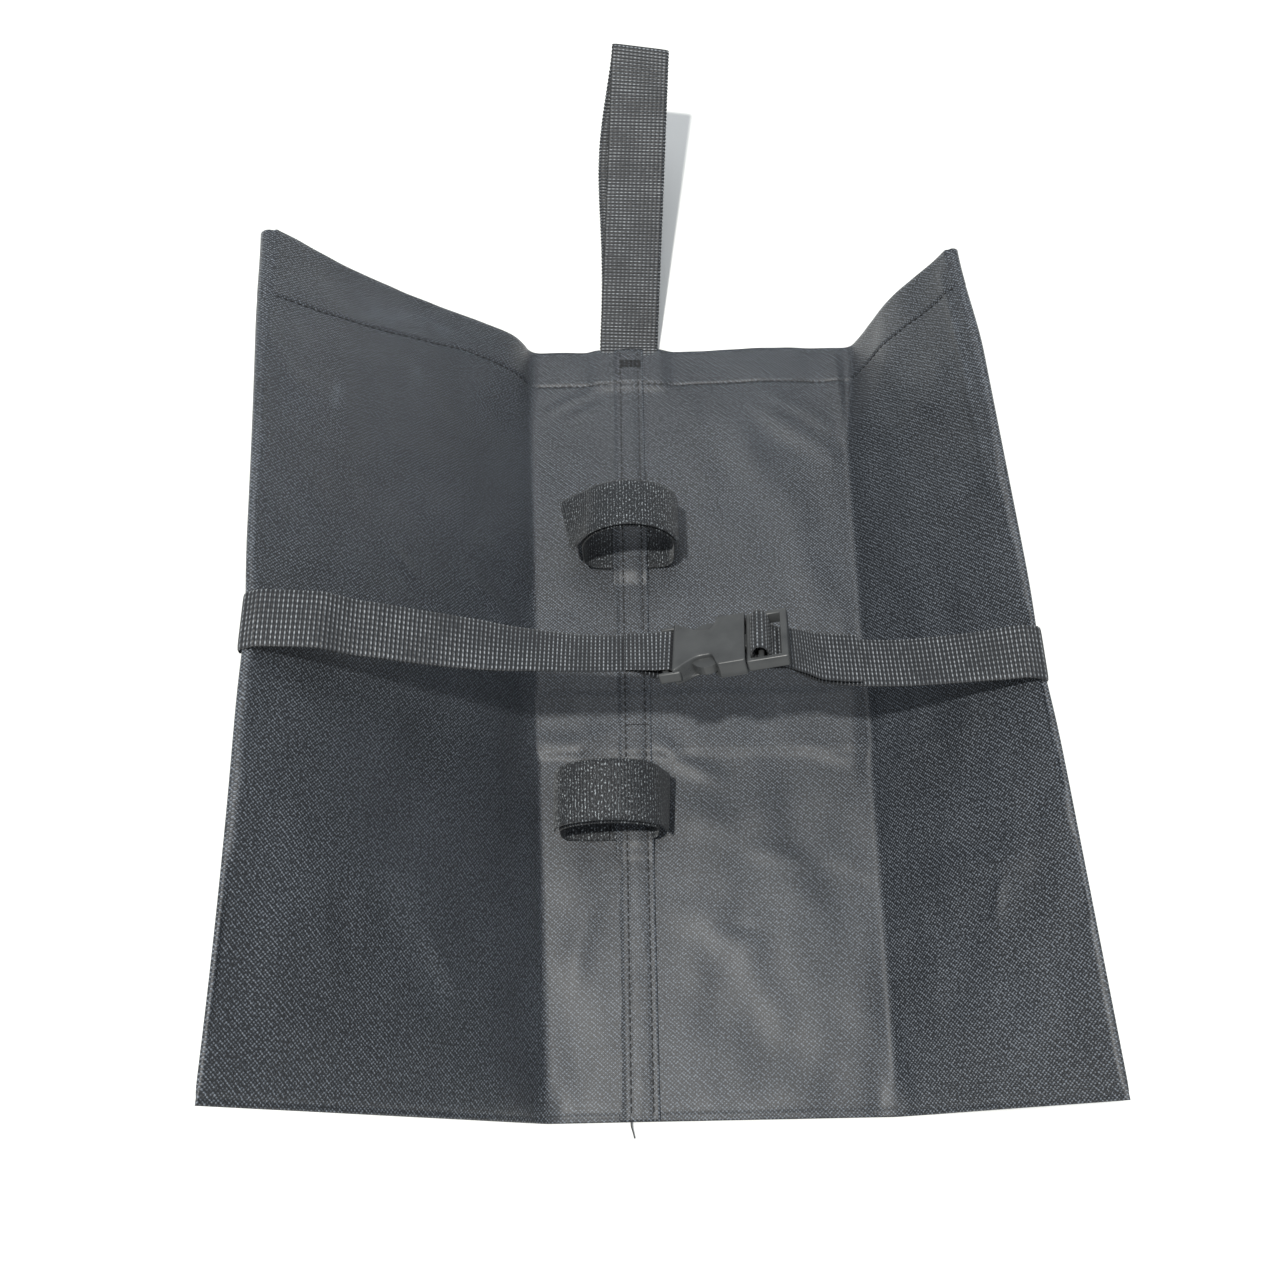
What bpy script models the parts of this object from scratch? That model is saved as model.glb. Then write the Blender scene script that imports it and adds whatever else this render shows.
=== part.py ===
"""Flat two-chamber weight bag for a canopy leg, lying with its side-release belt fastened round it.

X runs across the bag, +Y towards the carrying handle and +Z up. The origin is on the underside
of the back panel, under the centre seam, half way along the bag. Lengths are in metres.
"""

import math

import bmesh
import bpy
from mathutils import Matrix, Vector

MM = 0.001

# Bag
BAG_LENGTH = 0.400
BAG_WIDTH = 0.427
PLY = 0.9 * MM
GAP = 0.3 * MM
END = BAG_LENGTH / 2
SEAM_EDGE = 1.2 * MM
HEM = 22 * MM
FOLD_CLEAR = 0.4 * MM
FOLD_Z = 2 * PLY + GAP
FLAP = (-6.0 * MM, 7.5 * MM)
SEAM_ROWS = (-4.8 * MM, 4.8 * MM)
THREAD_WIDTH = 0.9 * MM
THREAD_THICK = 0.3 * MM
TAPE = 0.7 * MM
TAPE_WIDTH = 17 * MM
TAPE_SET_IN = 3 * MM

# Belt
BELT_WIDTH = 25.4 * MM
BELT_THICK = 1.2 * MM
BELT_Y = -19 * MM
BELT_BUMP = BELT_THICK + GAP
BELT_LIFT_OFF = 4 * MM
BELT_EDGE_CLEAR = 1.2 * MM
BELT_START = 4 * MM
BELT_TAIL = 44 * MM
BELT_ARC_STOP = math.radians(-22)
BELT_LEAVES_SOCKET = 16 * MM
BELT_LEAVES_LEFT = 50 * MM
LOAD_DROP = Vector((16, 0, -28)) * MM
LOAD_RISE = Vector((44, 0, 8)) * MM
BELT_FROM_EDGE = 1.5 * MM
BELT_MEETS_BAR = 17 * MM
SEWN_END = (6 * MM, 16 * MM)
SEWN_SPREAD = 0.4 * MM
LOAD_STARTS = (1 * MM, 3 * MM)
WRAP_ENDS = (3.9 * MM, 0.4 * MM)
TAIL_STARTS = 5.3 * MM
TAIL_STEP = 4 * MM
BARTACK_LENGTH = 1.2 * MM

# Buckle, in its own frame: u along the belt, w across it, n out of its face
BUCKLE_CENTRE = Vector((40.7, -19.0, 96.0)) * MM
BUCKLE_PITCH = math.radians(14)
BUCKLE_YAW = math.radians(3)
BUCKLE_ROLL = math.radians(27)
SOCKET = (-26.5 * MM, 6.5 * MM)
SOCKET_HALF_WIDTH = 15.6 * MM
SOCKET_HALF_THICK = 4.1 * MM
SOCKET_NECK = -19.5 * MM
SOCKET_SLOT = Vector((-23.9, 13.2, 8.2)) * MM
SOCKET_ROUNDING = 1.6 * MM
PLUG_ROUNDING = 1.2 * MM
EDGE_ROUNDING = 0.4 * MM
CAVITY = Vector((24.2, 25.2, 5.4)) * MM
WINDOW_U = -9.5 * MM
WINDOW_RADIUS = 8.5 * MM
WINDOW_DEPTH = 4.6 * MM
SOCKET_BAR_HALF = 1.6 * MM
SOCKET_BAR_U = -25.2 * MM
SOCKET_WRAP = 3.1 * MM
LADDER_HALF = 1.9 * MM
LADDER_WRAP = 3.2 * MM
PLUG = (6.8 * MM, 26.5 * MM)
SHOULDER = Vector((11.2, 15.6, 3.6)) * MM
TONGUE = Vector((8.0, 2.6, 1.6)) * MM
INNER_SLOT_U = 11.8 * MM
SLOT_HALF = Vector((0, 13.1, 6.0)) * MM
MIDDLE_BAR_HALF = 1.3 * MM
END_BAR_HALF = 1.1 * MM
MIDDLE_BAR_U = 17.4 * MM
END_BAR_U = 25.2 * MM
PRONG_W = 8.0 * MM
PRONG_HALF_WIDTH = 1.4 * MM
PRONG_HALF_THICK = 2.1 * MM
PAD_W = 7.7 * MM
PAD_RADIUS = 6.5 * MM
PAD_INSIDE = 5.5 * MM

# Handle
HANDLE_WIDTH = 32 * MM
HANDLE_THICK = 1.4 * MM
HANDLE_LENGTH = 166.5 * MM
HANDLE_RISE = math.radians(24.8)
HANDLE_BOW = 13 * MM
HANDLE_LEAN = 0.06
HANDLE_TUCK = HANDLE_THICK + 2 * GAP
HANDLE_BARTACK = 4 * MM
HANDLE_BARTACK_END = END - 8 * MM
HANDLE_OUT = 1.2 * MM
HANDLE_HINGE_RISE = 2.9 * MM

# Leg straps: across-bag centre, along-bag centre, half width and half height of the wound ring
LEG_STRAP_WIDTH = 30 * MM
LEG_STRAP_THICK = 1.3 * MM
RING_FLOOR = FOLD_Z + GAP
RING_SQUARENESS = 5
RING_COVER = LEG_STRAP_THICK + 3 * GAP
UPPER_RING = (-3 * MM, 79 * MM, 24.4 * MM, 21.6 * MM)
LOWER_RING = (-9 * MM, -63 * MM, 26.4 * MM, 17.2 * MM)
FREE_END = 17 * MM

MATERIALS = {
    "coated_oxford": ((0.020, 0.023, 0.027, 1.0), 0.62),
    "webbing": ((0.026, 0.028, 0.031, 1.0), 0.70),
    "hook_and_loop": ((0.014, 0.015, 0.016, 1.0), 0.85),
    "acetal": ((0.022, 0.023, 0.023, 1.0), 0.42),
    "thread": ((0.012, 0.013, 0.014, 1.0), 0.60),
}


# ---------------------------------------------------------------- small tools


def clear_scene():
    for obj in list(bpy.data.objects):
        bpy.data.objects.remove(obj, do_unlink=True)


def collection(name):
    made = bpy.data.collections.new(name)
    bpy.context.scene.collection.children.link(made)
    return made


def material(kind, name):
    colour, roughness = MATERIALS[kind]
    made = bpy.data.materials.new(name)
    made.use_nodes = True
    shader = made.node_tree.nodes["Principled BSDF"]
    shader.inputs["Base Color"].default_value = colour
    shader.inputs["Roughness"].default_value = roughness
    shader.inputs["Metallic"].default_value = 0.0
    return made


def smooth(x):
    x = min(1.0, max(0.0, x))
    return x * x * (3 - 2 * x)


def spread(low, high, count):
    return [low + (high - low) * i / (count - 1) for i in range(count)]


def hang_on(obj, empty):
    """Parents obj to the empty on its joint's axis, and leaves it where it is."""
    obj.parent = empty
    obj.matrix_parent_inverse = empty.matrix_world.inverted()


def add(obj, kind, empty=None):
    obj.data.materials.append(material(kind, obj.name))
    PARTS.objects.link(obj)
    if empty:
        hang_on(obj, empty)
    return obj


def joint_empty(name, place):
    made = bpy.data.objects.new(name, None)
    PARTS.objects.link(made)
    made.matrix_world = Matrix.Translation(place)
    return made


def sheet(name, kind, us, vs, place, thick, empty=None):
    """A sheet of material: a grid whose points go to place(u, v), thickened both ways."""
    bm = bmesh.new()
    bmesh.ops.create_grid(bm, x_segments=len(us) - 1, y_segments=len(vs) - 1, size=1)
    for vertex in bm.verts:
        i = round((vertex.co.x + 1) / 2 * (len(us) - 1))
        j = round((vertex.co.y + 1) / 2 * (len(vs) - 1))
        vertex.co = place(us[i], vs[j])
    mesh = bpy.data.meshes.new(name)
    bm.to_mesh(mesh)
    bm.free()
    obj = bpy.data.objects.new(name, mesh)
    shell = obj.modifiers.new("thickness", "SOLIDIFY")
    shell.thickness = thick
    shell.offset = 0
    shell.use_even_offset = True
    mesh.shade_smooth()
    mesh.set_sharp_from_angle(angle=math.radians(40))
    return add(obj, kind, empty)


def strap(name, kind, stations, width, thick, empty=None):
    """Webbing whose middle runs through stations, each a point and its widthwise direction."""

    def place(share, k):
        point, across = stations[k]
        return point + across * (share * width)

    return sheet(name, kind, (-0.5, 0.5), range(len(stations)), place, thick, empty)


def block(name, low, high, bevel=0.0, segments=2):
    """A box between two corners, with rounded edges."""
    low, high = Vector(low), Vector(high)
    bm = bmesh.new()
    bmesh.ops.create_cube(bm, size=1)
    for vertex in bm.verts:
        vertex.co = Vector([a + (b - a) * (c + 0.5) for a, b, c in zip(low, high, vertex.co)])
    if bevel:
        bmesh.ops.bevel(
            bm,
            geom=bm.edges[:],
            offset=bevel,
            segments=segments,
            profile=0.5,
            affect="EDGES",
            clamp_overlap=True,
        )
    mesh = bpy.data.meshes.new(name)
    bm.to_mesh(mesh)
    bm.free()
    return bpy.data.objects.new(name, mesh)


def drum(name, centre, radius, half_height, segments=32):
    """A cylinder along the buckle's n."""
    bm = bmesh.new()
    bmesh.ops.create_cone(
        bm,
        cap_ends=True,
        segments=segments,
        radius1=radius,
        radius2=radius,
        depth=2 * half_height,
    )
    bmesh.ops.translate(bm, verts=bm.verts, vec=Vector(centre))
    mesh = bpy.data.meshes.new(name)
    bm.to_mesh(mesh)
    bm.free()
    return bpy.data.objects.new(name, mesh)


def carve(obj, tool, operation, frame):
    """Joins tool to obj, or cuts it out of it. Both are drawn in the same frame."""
    CUTTERS.objects.link(tool)
    tool.matrix_world = frame
    tool.hide_render = True
    tool.display_type = "WIRE"
    change = obj.modifiers.new(tool.name, "BOOLEAN")
    change.operation = operation
    change.solver = "EXACT"
    change.object = tool


def round_edges(obj, radius, segments=2):
    bevel = obj.modifiers.new("rounding", "BEVEL")
    bevel.width = radius
    bevel.segments = segments
    bevel.limit_method = "ANGLE"
    bevel.angle_limit = math.radians(50)
    bevel.use_clamp_overlap = True


def bezier(start, start_pull, end, end_pull, count):
    """Points on a cubic from start to end. Each pull is the direction times how far it holds."""
    points = []
    for s in spread(0.0, 1.0, count):
        a, b = start + start_pull, end - end_pull
        k = 1 - s
        points.append(start * k**3 + a * (3 * k * k * s) + b * (3 * k * s * s) + end * s**3)
    return points


# ---------------------------------------------------------------- shape of the bag


class Wing:
    """The part of the bag beyond one fold line: a chamber standing up at an angle."""

    def __init__(self, name, side, fold, slant, mouth_gap):
        self.name, self.side, self.fold, self.slant, self.mouth_gap = name, side, fold, slant, mouth_gap

    def fold_x(self, y):
        return self.fold[0] + (self.fold[1] - self.fold[0]) * along(y)

    def angle(self, y):
        t = along(y)
        return math.radians(self.slant[0] + self.slant[1] * t + self.slant[2] * t * t)

    def reach(self, y):
        return BAG_WIDTH / 2 - abs(self.fold_x(y))

    def gap(self, y):
        return 1.0 * MM + (self.mouth_gap - 1.0 * MM) * along(y) ** 2

    def point(self, d, n, y):
        """d from the fold towards the outer edge, n outwards from the inner face."""
        a = self.angle(y)
        x = self.fold_x(y) + self.side * (d * math.cos(a) + n * math.sin(a))
        return Vector((x, y, FOLD_Z + d * math.sin(a) - n * math.cos(a)))

    def edge_radius(self, y):
        """Radius of the cloth's middle where it turns round the outer edge."""
        return (self.gap(y) + PLY) / 2

    def edge_d(self, y):
        return self.reach(y) - self.edge_radius(y) - PLY / 2

    def edge_centre(self, y):
        return self.point(self.edge_d(y), PLY / 2 + self.edge_radius(y), y)

    def back_n(self, share, y):
        """How far out the back ply's middle is, at a share of the way to the outer edge."""
        return 1.5 * PLY + GAP + (self.gap(y) - GAP) * smooth(share)

    def round_edge(self, turn, extra, y):
        """A point round the outer edge: turn is 90 degrees at the back face and -90 at the front."""
        radius = self.edge_radius(y) + extra
        d = self.edge_d(y) + radius * math.cos(turn)
        n = PLY / 2 + self.edge_radius(y) + radius * math.sin(turn)
        return self.point(d, n, y)


def along(y):
    """0 at the closed bottom, 1 at the mouth."""
    return y / BAG_LENGTH + 0.5


def lift(y):
    """How far the panels rise over the belt, which runs under them."""
    off = abs(y - BELT_Y) - BELT_WIDTH / 2 - 1 * MM
    return BELT_BUMP * (1 - smooth(off / BELT_LIFT_OFF))


def tuck(x, y):
    """How far the front rises over the handle's sewn-in ends."""
    sideways = 1 - smooth((abs(x) - HANDLE_WIDTH / 2 - GAP) / (8 * MM))
    endways = smooth((y - (END - HEM - 6 * MM)) / (8 * MM))
    return HANDLE_TUCK * sideways * endways


def ring_cover(y):
    """How far the seam's flap rises over the leg straps, which are caught under it."""
    off = min(abs(y - ring[1]) for ring in (UPPER_RING, LOWER_RING)) - LEG_STRAP_WIDTH / 2 - 0.5 * MM
    return RING_COVER * (1 - smooth(off / BELT_LIFT_OFF))


def front_z(x, y):
    """The upper face of the front ply between the folds."""
    return FOLD_Z + lift(y) + tuck(x, y)


def flap_z(x, y):
    """The middle of the seam's flap."""
    return front_z(x, y) + ring_cover(y) + GAP + PLY / 2


LEFT = Wing("left", -1, (-41 * MM, -55 * MM), (52.1, 4.0, -14.3), 8.0 * MM)
RIGHT = Wing("right", 1, (109 * MM, 117 * MM), (44.7, 16.6, 0.0), 4.2 * MM)

BELT_LOW = BELT_Y - BELT_WIDTH / 2
BELT_HIGH = BELT_Y + BELT_WIDTH / 2
BOTTOM = -END + SEAM_EDGE + GAP
ROWS_BELOW = spread(BOTTOM, BELT_LOW - 15 * MM, 5)
ROWS_BELT = [BELT_LOW - 5 * MM, BELT_LOW - 1 * MM, BELT_Y, BELT_HIGH + 1 * MM, BELT_HIGH + 5 * MM]
ROWS_ABOVE = spread(BELT_HIGH + 15 * MM, END - HEM - 6 * MM, 5)
ROWS_HEM = [END - HEM - 2 * MM, END - HEM + 2 * MM, END]
ROWS = ROWS_BELOW + ROWS_BELT + ROWS_ABOVE + ROWS_HEM
RING_ROWS = [side * (LEG_STRAP_WIDTH / 2 + off) for side in (-1, 1) for off in (0.5 * MM, 4.5 * MM)]
ROWS_FLAP = sorted(ROWS + [ring[1] + row for ring in (UPPER_RING, LOWER_RING) for row in RING_ROWS])
ROWS_WING = ROWS_BELOW + [BELT_LOW, BELT_Y, BELT_HIGH] + ROWS_ABOVE + spread(END - HEM, END, 4)
SEAM_STRIP = [-END, -END + SEAM_EDGE]


# ---------------------------------------------------------------- bag


def centre_panels():
    def across(share, y, low, high):
        return low(y) + (high(y) - low(y)) * share

    def left_edge(y):
        return LEFT.fold_x(y) + FOLD_CLEAR

    def right_edge(y):
        return RIGHT.fold_x(y) - FOLD_CLEAR

    def back(share, y):
        return Vector((across(share, y, left_edge, right_edge), y, PLY / 2 + lift(y)))

    sheet("centre_back_panel", "coated_oxford", spread(0, 1, 4), ROWS, back, PLY)
    halves = {
        "left": (left_edge, -GAP / 2, (0, 0.3, 0.56, 0.68, 1)),
        "right": (right_edge, GAP / 2, (0, 0.35, 0.7, 0.8, 0.87, 1)),
    }
    for side, (edge, seam, shares) in halves.items():

        def front(share, y, edge=edge, seam=seam):
            x = edge(y) + (seam - edge(y)) * share
            return Vector((x, y, front_z(x, y) - PLY / 2))

        sheet(f"{side}_centre_front_panel", "coated_oxford", shares, ROWS, front, PLY)


def seam():
    def flap(x, y):
        return Vector((x, y, flap_z(x, y)))

    sheet("seam_flap", "coated_oxford", FLAP, ROWS_FLAP, flap, PLY)

    def row(x, y):
        return Vector((x, y, flap_z(x, y) + PLY / 2 + GAP + THREAD_THICK / 2))

    rows = [y for y in ROWS_FLAP if y < END] + [END - 2 * MM]
    for name, x in zip(("left", "right"), SEAM_ROWS):
        us = (x - THREAD_WIDTH / 2, x + THREAD_WIDTH / 2)
        sheet(f"seam_stitch_{name}_row", "thread", us, rows, row, THREAD_THICK)


def centre_hem_stitch():
    """The line of stitches that holds the turned hem, one run each side of the seam."""

    def run(x, y):
        return Vector((x, y, front_z(x, y) + GAP + THREAD_THICK / 2))

    vs = (END - HEM - THREAD_WIDTH / 2, END - HEM + THREAD_WIDTH / 2)
    runs = {
        "left_centre_hem_stitch": spread(LEFT.fold_x(END - HEM) + 1 * MM, FLAP[0] - 1 * MM, 8),
        "right_centre_hem_stitch": spread(FLAP[1] + 1 * MM, RIGHT.fold_x(END - HEM) - 1 * MM, 14),
    }
    for name, us in runs.items():
        sheet(name, "thread", us, vs, run, THREAD_THICK)


def centre_bottom_seam():
    """The turned bottom edge that closes both chambers between the folds."""

    def strip(share, y):
        low = LEFT.fold_x(y) + FOLD_CLEAR
        high = RIGHT.fold_x(y) - FOLD_CLEAR
        return Vector((low + (high - low) * share, y, FOLD_Z / 2))

    sheet("centre_bottom_seam", "coated_oxford", spread(0, 1, 5), SEAM_STRIP, strip, FOLD_Z)


def wing_cloth(wing, empty):
    """A chamber's front ply, and its back ply that turns round the outer edge."""

    def front(share, y):
        d = FOLD_CLEAR + (wing.edge_d(y) - GAP - FOLD_CLEAR) * share
        return wing.point(d, PLY / 2, y)

    sheet(f"{wing.name}_chamber_front", "coated_oxford", spread(0, 1, 8), ROWS_WING, front, PLY, empty)

    flats, turns = spread(0, 1, 8), spread(70, -90, 6)

    def back(k, y):
        if k < len(flats):
            d = FOLD_CLEAR + (wing.edge_d(y) - FOLD_CLEAR) * flats[k]
            return wing.point(d, wing.back_n(flats[k], y), y)
        return wing.round_edge(math.radians(turns[k - len(flats)]), 0.0, y)

    ks = range(len(flats) + len(turns))
    sheet(f"{wing.name}_chamber_back", "coated_oxford", ks, ROWS_WING, back, PLY, empty)

    def closed(share, y):
        depth = 2 * PLY + wing.gap(y)
        reach = wing.reach(y) - FOLD_CLEAR - GAP
        return wing.point(FOLD_CLEAR + reach * share, FOLD_Z / 2 + (depth - FOLD_Z) / 2 * share, y)

    sheet(f"{wing.name}_bottom_seam", "coated_oxford", spread(0, 1, 4), SEAM_STRIP, closed, FOLD_Z, empty)


def wing_trim(wing, empty, tape_shares):
    """The hem's stitches, and the hook and loop tapes inside the mouth."""

    def stitch(share, y):
        d = 1 * MM + (wing.edge_d(y) - 3 * MM) * share
        return wing.point(d, -GAP - THREAD_THICK / 2, y)

    vs = (END - HEM - THREAD_WIDTH / 2, END - HEM + THREAD_WIDTH / 2)
    sheet(f"{wing.name}_hem_stitch", "thread", spread(0, 1, 3), vs, stitch, THREAD_THICK, empty)

    def hook(share, y):
        return wing.point(wing.edge_d(y) * share, PLY + GAP + TAPE / 2, y)

    def loop(share, y):
        n = wing.back_n(share, y) - PLY / 2 - GAP - TAPE / 2
        return wing.point(wing.edge_d(y) * share, n, y)

    us = spread(*tape_shares, 5)
    vs = (END - TAPE_SET_IN - TAPE_WIDTH, END - TAPE_SET_IN)
    sheet(f"{wing.name}_mouth_hook_tape", "hook_and_loop", us, vs, hook, TAPE, empty)
    sheet(f"{wing.name}_mouth_loop_tape", "hook_and_loop", us, vs, loop, TAPE, empty)


# ---------------------------------------------------------------- belt


def belt_back_run():
    """The belt under the bag, from fold to fold."""
    ends = (LEFT.fold_x(BELT_Y) + 1 * MM, RIGHT.fold_x(BELT_Y) - 1 * MM)

    def place(x, y):
        return Vector((x, y, BELT_THICK / 2))

    sheet("belt_back_run", "webbing", ends, (BELT_LOW, BELT_HIGH), place, BELT_THICK)


def belt_wing_run(wing, empty):
    """The belt up the outside of a wing and round its outer edge."""
    outside = PLY / 2 + GAP + BELT_THICK / 2
    flats, turns = spread(0, 1, 8), spread(70, math.degrees(BELT_ARC_STOP), 5)

    def place(k, y):
        if k < len(flats):
            d = BELT_START + (wing.edge_d(y) - BELT_START) * flats[k]
            share = (d - FOLD_CLEAR) / (wing.edge_d(y) - FOLD_CLEAR)
            return wing.point(d, wing.back_n(share, y) + outside, y)
        return wing.round_edge(math.radians(turns[k - len(flats)]), outside, y)

    ks = range(len(flats) + len(turns))
    sheet(f"belt_{wing.name}_run", "webbing", ks, (BELT_LOW, BELT_Y, BELT_HIGH), place, BELT_THICK, empty)


def buckle_frame():
    turn = Matrix.Rotation(BUCKLE_YAW, 4, "Z")
    turn = turn @ Matrix.Rotation(-BUCKLE_PITCH, 4, "Y")
    turn = turn @ Matrix.Rotation(-BUCKLE_ROLL, 4, "X")
    return Matrix.Translation(BUCKLE_CENTRE) @ turn


def in_buckle(u, n):
    """A point in the middle of the belt's width, in the buckle's frame."""
    return BUCKLE @ Vector((u, 0, n))


def round_bar(bar_u, radius, start, stop, count):
    """Points round a crossbar, by angle from u towards n, in degrees."""
    turns = [math.radians(a) for a in spread(start, stop, count)]
    return [in_buckle(bar_u + radius * math.cos(a), radius * math.sin(a)) for a in turns]


def with_width(points, first, last):
    """Pairs each point with a widthwise direction that turns from first to last."""
    made = []
    for k, point in enumerate(points):
        s = smooth(k / (len(points) - 1))
        made.append((point, (first * (1 - s) + last * s).normalized()))
    return made


def belt_left_span(empty):
    """The belt from the left edge to the socket, where its end turns round the bar and is sewn down."""
    flat = (BELT_THICK + GAP) / 2
    start = LEFT_EDGE + BELT_NORMAL * BELT_EDGE_OUT + BELT_LINE * BELT_FROM_EDGE
    meets = in_buckle(SOCKET_BAR_U - BELT_MEETS_BAR, -flat)
    run = bezier(start, BELT_LINE * BELT_LEAVES_LEFT, meets, BUCKLE_U * BELT_LEAVES_SOCKET, 14)
    stations = with_width(run, Vector((0, 1, 0)), BUCKLE_W)
    near, far = SEWN_END
    wrap = [in_buckle(SOCKET_BAR_U - near, -flat - SEWN_SPREAD)]
    wrap += round_bar(SOCKET_BAR_U, SOCKET_WRAP, -90, 90, 9)
    wrap.append(in_buckle(SOCKET_BAR_U - near, flat + SEWN_SPREAD))
    wrap.append(in_buckle(SOCKET_BAR_U - far, flat + SEWN_SPREAD / 2))
    stations += [(point, BUCKLE_W) for point in wrap]
    strap("belt_left_span", "webbing", stations, BELT_WIDTH, BELT_THICK, empty)


def right_run(offset, count):
    """Stations on the belt from the ladder's middle bar to the right edge, offset out of its face.

    The belt drops steeply out of the ladder and sags before it climbs to the edge."""
    start = in_buckle(MIDDLE_BAR_U + LOAD_STARTS[1], -(LADDER_HALF + GAP + BELT_THICK * 1.5 + GAP))
    end = RIGHT_EDGE + BELT_NORMAL * BELT_EDGE_OUT - BELT_LINE * BELT_FROM_EDGE
    points = bezier(start, LOAD_DROP, end, LOAD_RISE, count)
    moved = []
    for k, point in enumerate(points):
        ahead = points[min(k + 1, count - 1)] - points[max(k - 1, 0)]
        moved.append(point + Vector((-ahead.z, 0, ahead.x)).normalized() * offset)
    return with_width(moved, BUCKLE_W, Vector((0, 1, 0)))


def belt_right_span(empty):
    """The load side of the belt, from under the ladder's middle bar to the right edge."""
    stations = [(in_buckle(MIDDLE_BAR_U + LOAD_STARTS[0], -LADDER_WRAP), BUCKLE_W)] + right_run(0.0, 14)
    strap("belt_right_span", "webbing", stations, BELT_WIDTH, BELT_THICK, empty)


def belt_ladder_wrap(empty):
    """The belt round the ladder's middle bar."""
    points = round_bar(MIDDLE_BAR_U, LADDER_WRAP, 268, 50, 10)
    points.append(in_buckle(MIDDLE_BAR_U + WRAP_ENDS[0], WRAP_ENDS[1]))
    strap("belt_ladder_wrap", "webbing", [(p, BUCKLE_W) for p in points], BELT_WIDTH, BELT_THICK, empty)


def belt_tail(empty):
    """The free end, lying on the load side of the belt."""
    offset = BELT_THICK + 2 * GAP
    first = in_buckle(MIDDLE_BAR_U + TAIL_STARTS, -LADDER_HALF - GAP - BELT_THICK / 2)
    run, used = [(first, BUCKLE_W)], 0.0
    for station in right_run(offset, 40):
        used += (station[0] - run[-1][0]).length
        if used > BELT_TAIL:
            break
        if (station[0] - run[-1][0]).length > TAIL_STEP:
            run.append(station)
    strap("belt_tail", "webbing", run, BELT_WIDTH, BELT_THICK, empty)


# ---------------------------------------------------------------- buckle


def buckle_socket(empty):
    half = SOCKET_HALF_WIDTH
    thick = SOCKET_HALF_THICK
    socket = block("buckle_socket", (SOCKET[0], -half, -thick), (SOCKET[1], half, thick), SOCKET_ROUNDING, 3)
    mouth = SOCKET[1] + 1 * MM
    carve(
        socket,
        block("cavity", (mouth - CAVITY.x, -CAVITY.y / 2, -CAVITY.z / 2), (mouth, CAVITY.y / 2, CAVITY.z / 2)),
        "DIFFERENCE",
        BUCKLE,
    )
    for side, name in ((-1, "near_window"), (1, "far_window")):
        middle = side * (half + WINDOW_RADIUS - WINDOW_DEPTH)
        carve(socket, drum(name, (WINDOW_U, middle, 0), WINDOW_RADIUS, 2 * thick), "DIFFERENCE", BUCKLE)
    for side, name in ((-1, "under_neck"), (1, "over_neck")):
        low, high = sorted((side * SOCKET_BAR_HALF, side * 2 * thick))
        tool = block(name, (2 * SOCKET[0], -2 * half, low), (SOCKET_NECK, 2 * half, high))
        carve(socket, tool, "DIFFERENCE", BUCKLE)
    u, w, n = SOCKET_SLOT
    slot = block("belt_slot", (u, -w, -n), (SOCKET_NECK, w, n))
    carve(socket, slot, "DIFFERENCE", BUCKLE)
    finish_buckle_piece(socket, empty)


def buckle_plug(empty):
    half = SOCKET_HALF_WIDTH
    plug = block("buckle_plug", (PLUG[0], -half, -LADDER_HALF), (PLUG[1], half, LADDER_HALF), PLUG_ROUNDING, 2)
    base = block("shoulder", (PLUG[0], -SHOULDER.y, -SHOULDER.z), SHOULDER, PLUG_ROUNDING, 2)
    carve(plug, base, "UNION", BUCKLE)
    tongue = block("tongue", -TONGUE, TONGUE)
    carve(plug, tongue, "UNION", BUCKLE)
    slots = {
        "inner_slot": (INNER_SLOT_U, MIDDLE_BAR_U - MIDDLE_BAR_HALF),
        "outer_slot": (MIDDLE_BAR_U + MIDDLE_BAR_HALF, END_BAR_U - END_BAR_HALF),
    }
    for name, (low, high) in slots.items():
        tool = block(name, (low, -SLOT_HALF.y, -SLOT_HALF.z), (high, SLOT_HALF.y, SLOT_HALF.z))
        carve(plug, tool, "DIFFERENCE", BUCKLE)
    finish_buckle_piece(plug, empty)


def buckle_prong(name, side, empty):
    """A springy arm rooted in the plug, whose pad fills the socket's side window."""
    low, high = sorted((side * (PRONG_W - PRONG_HALF_WIDTH), side * (PRONG_W + PRONG_HALF_WIDTH)))
    n = PRONG_HALF_THICK
    arm = block(name, (WINDOW_U, low, -n), (SOCKET[1], high, n))
    pad = drum(f"{name}_pad", (WINDOW_U, side * PAD_W, 0), PAD_RADIUS, n)
    carve(arm, pad, "UNION", BUCKLE)
    inner = sorted((0.0, side * PAD_INSIDE))
    reach = -SOCKET[0]
    inside = block(f"{name}_inside", (-reach, inner[0], -PAD_RADIUS), (reach, inner[1], PAD_RADIUS))
    carve(arm, inside, "DIFFERENCE", BUCKLE)
    finish_buckle_piece(arm, empty)


def finish_buckle_piece(obj, empty):
    round_edges(obj, EDGE_ROUNDING)
    obj.data.shade_smooth()
    obj.data.set_sharp_from_angle(angle=math.radians(35))
    obj.matrix_world = BUCKLE
    add(obj, "acetal", empty)


# ---------------------------------------------------------------- handle and leg straps


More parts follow.
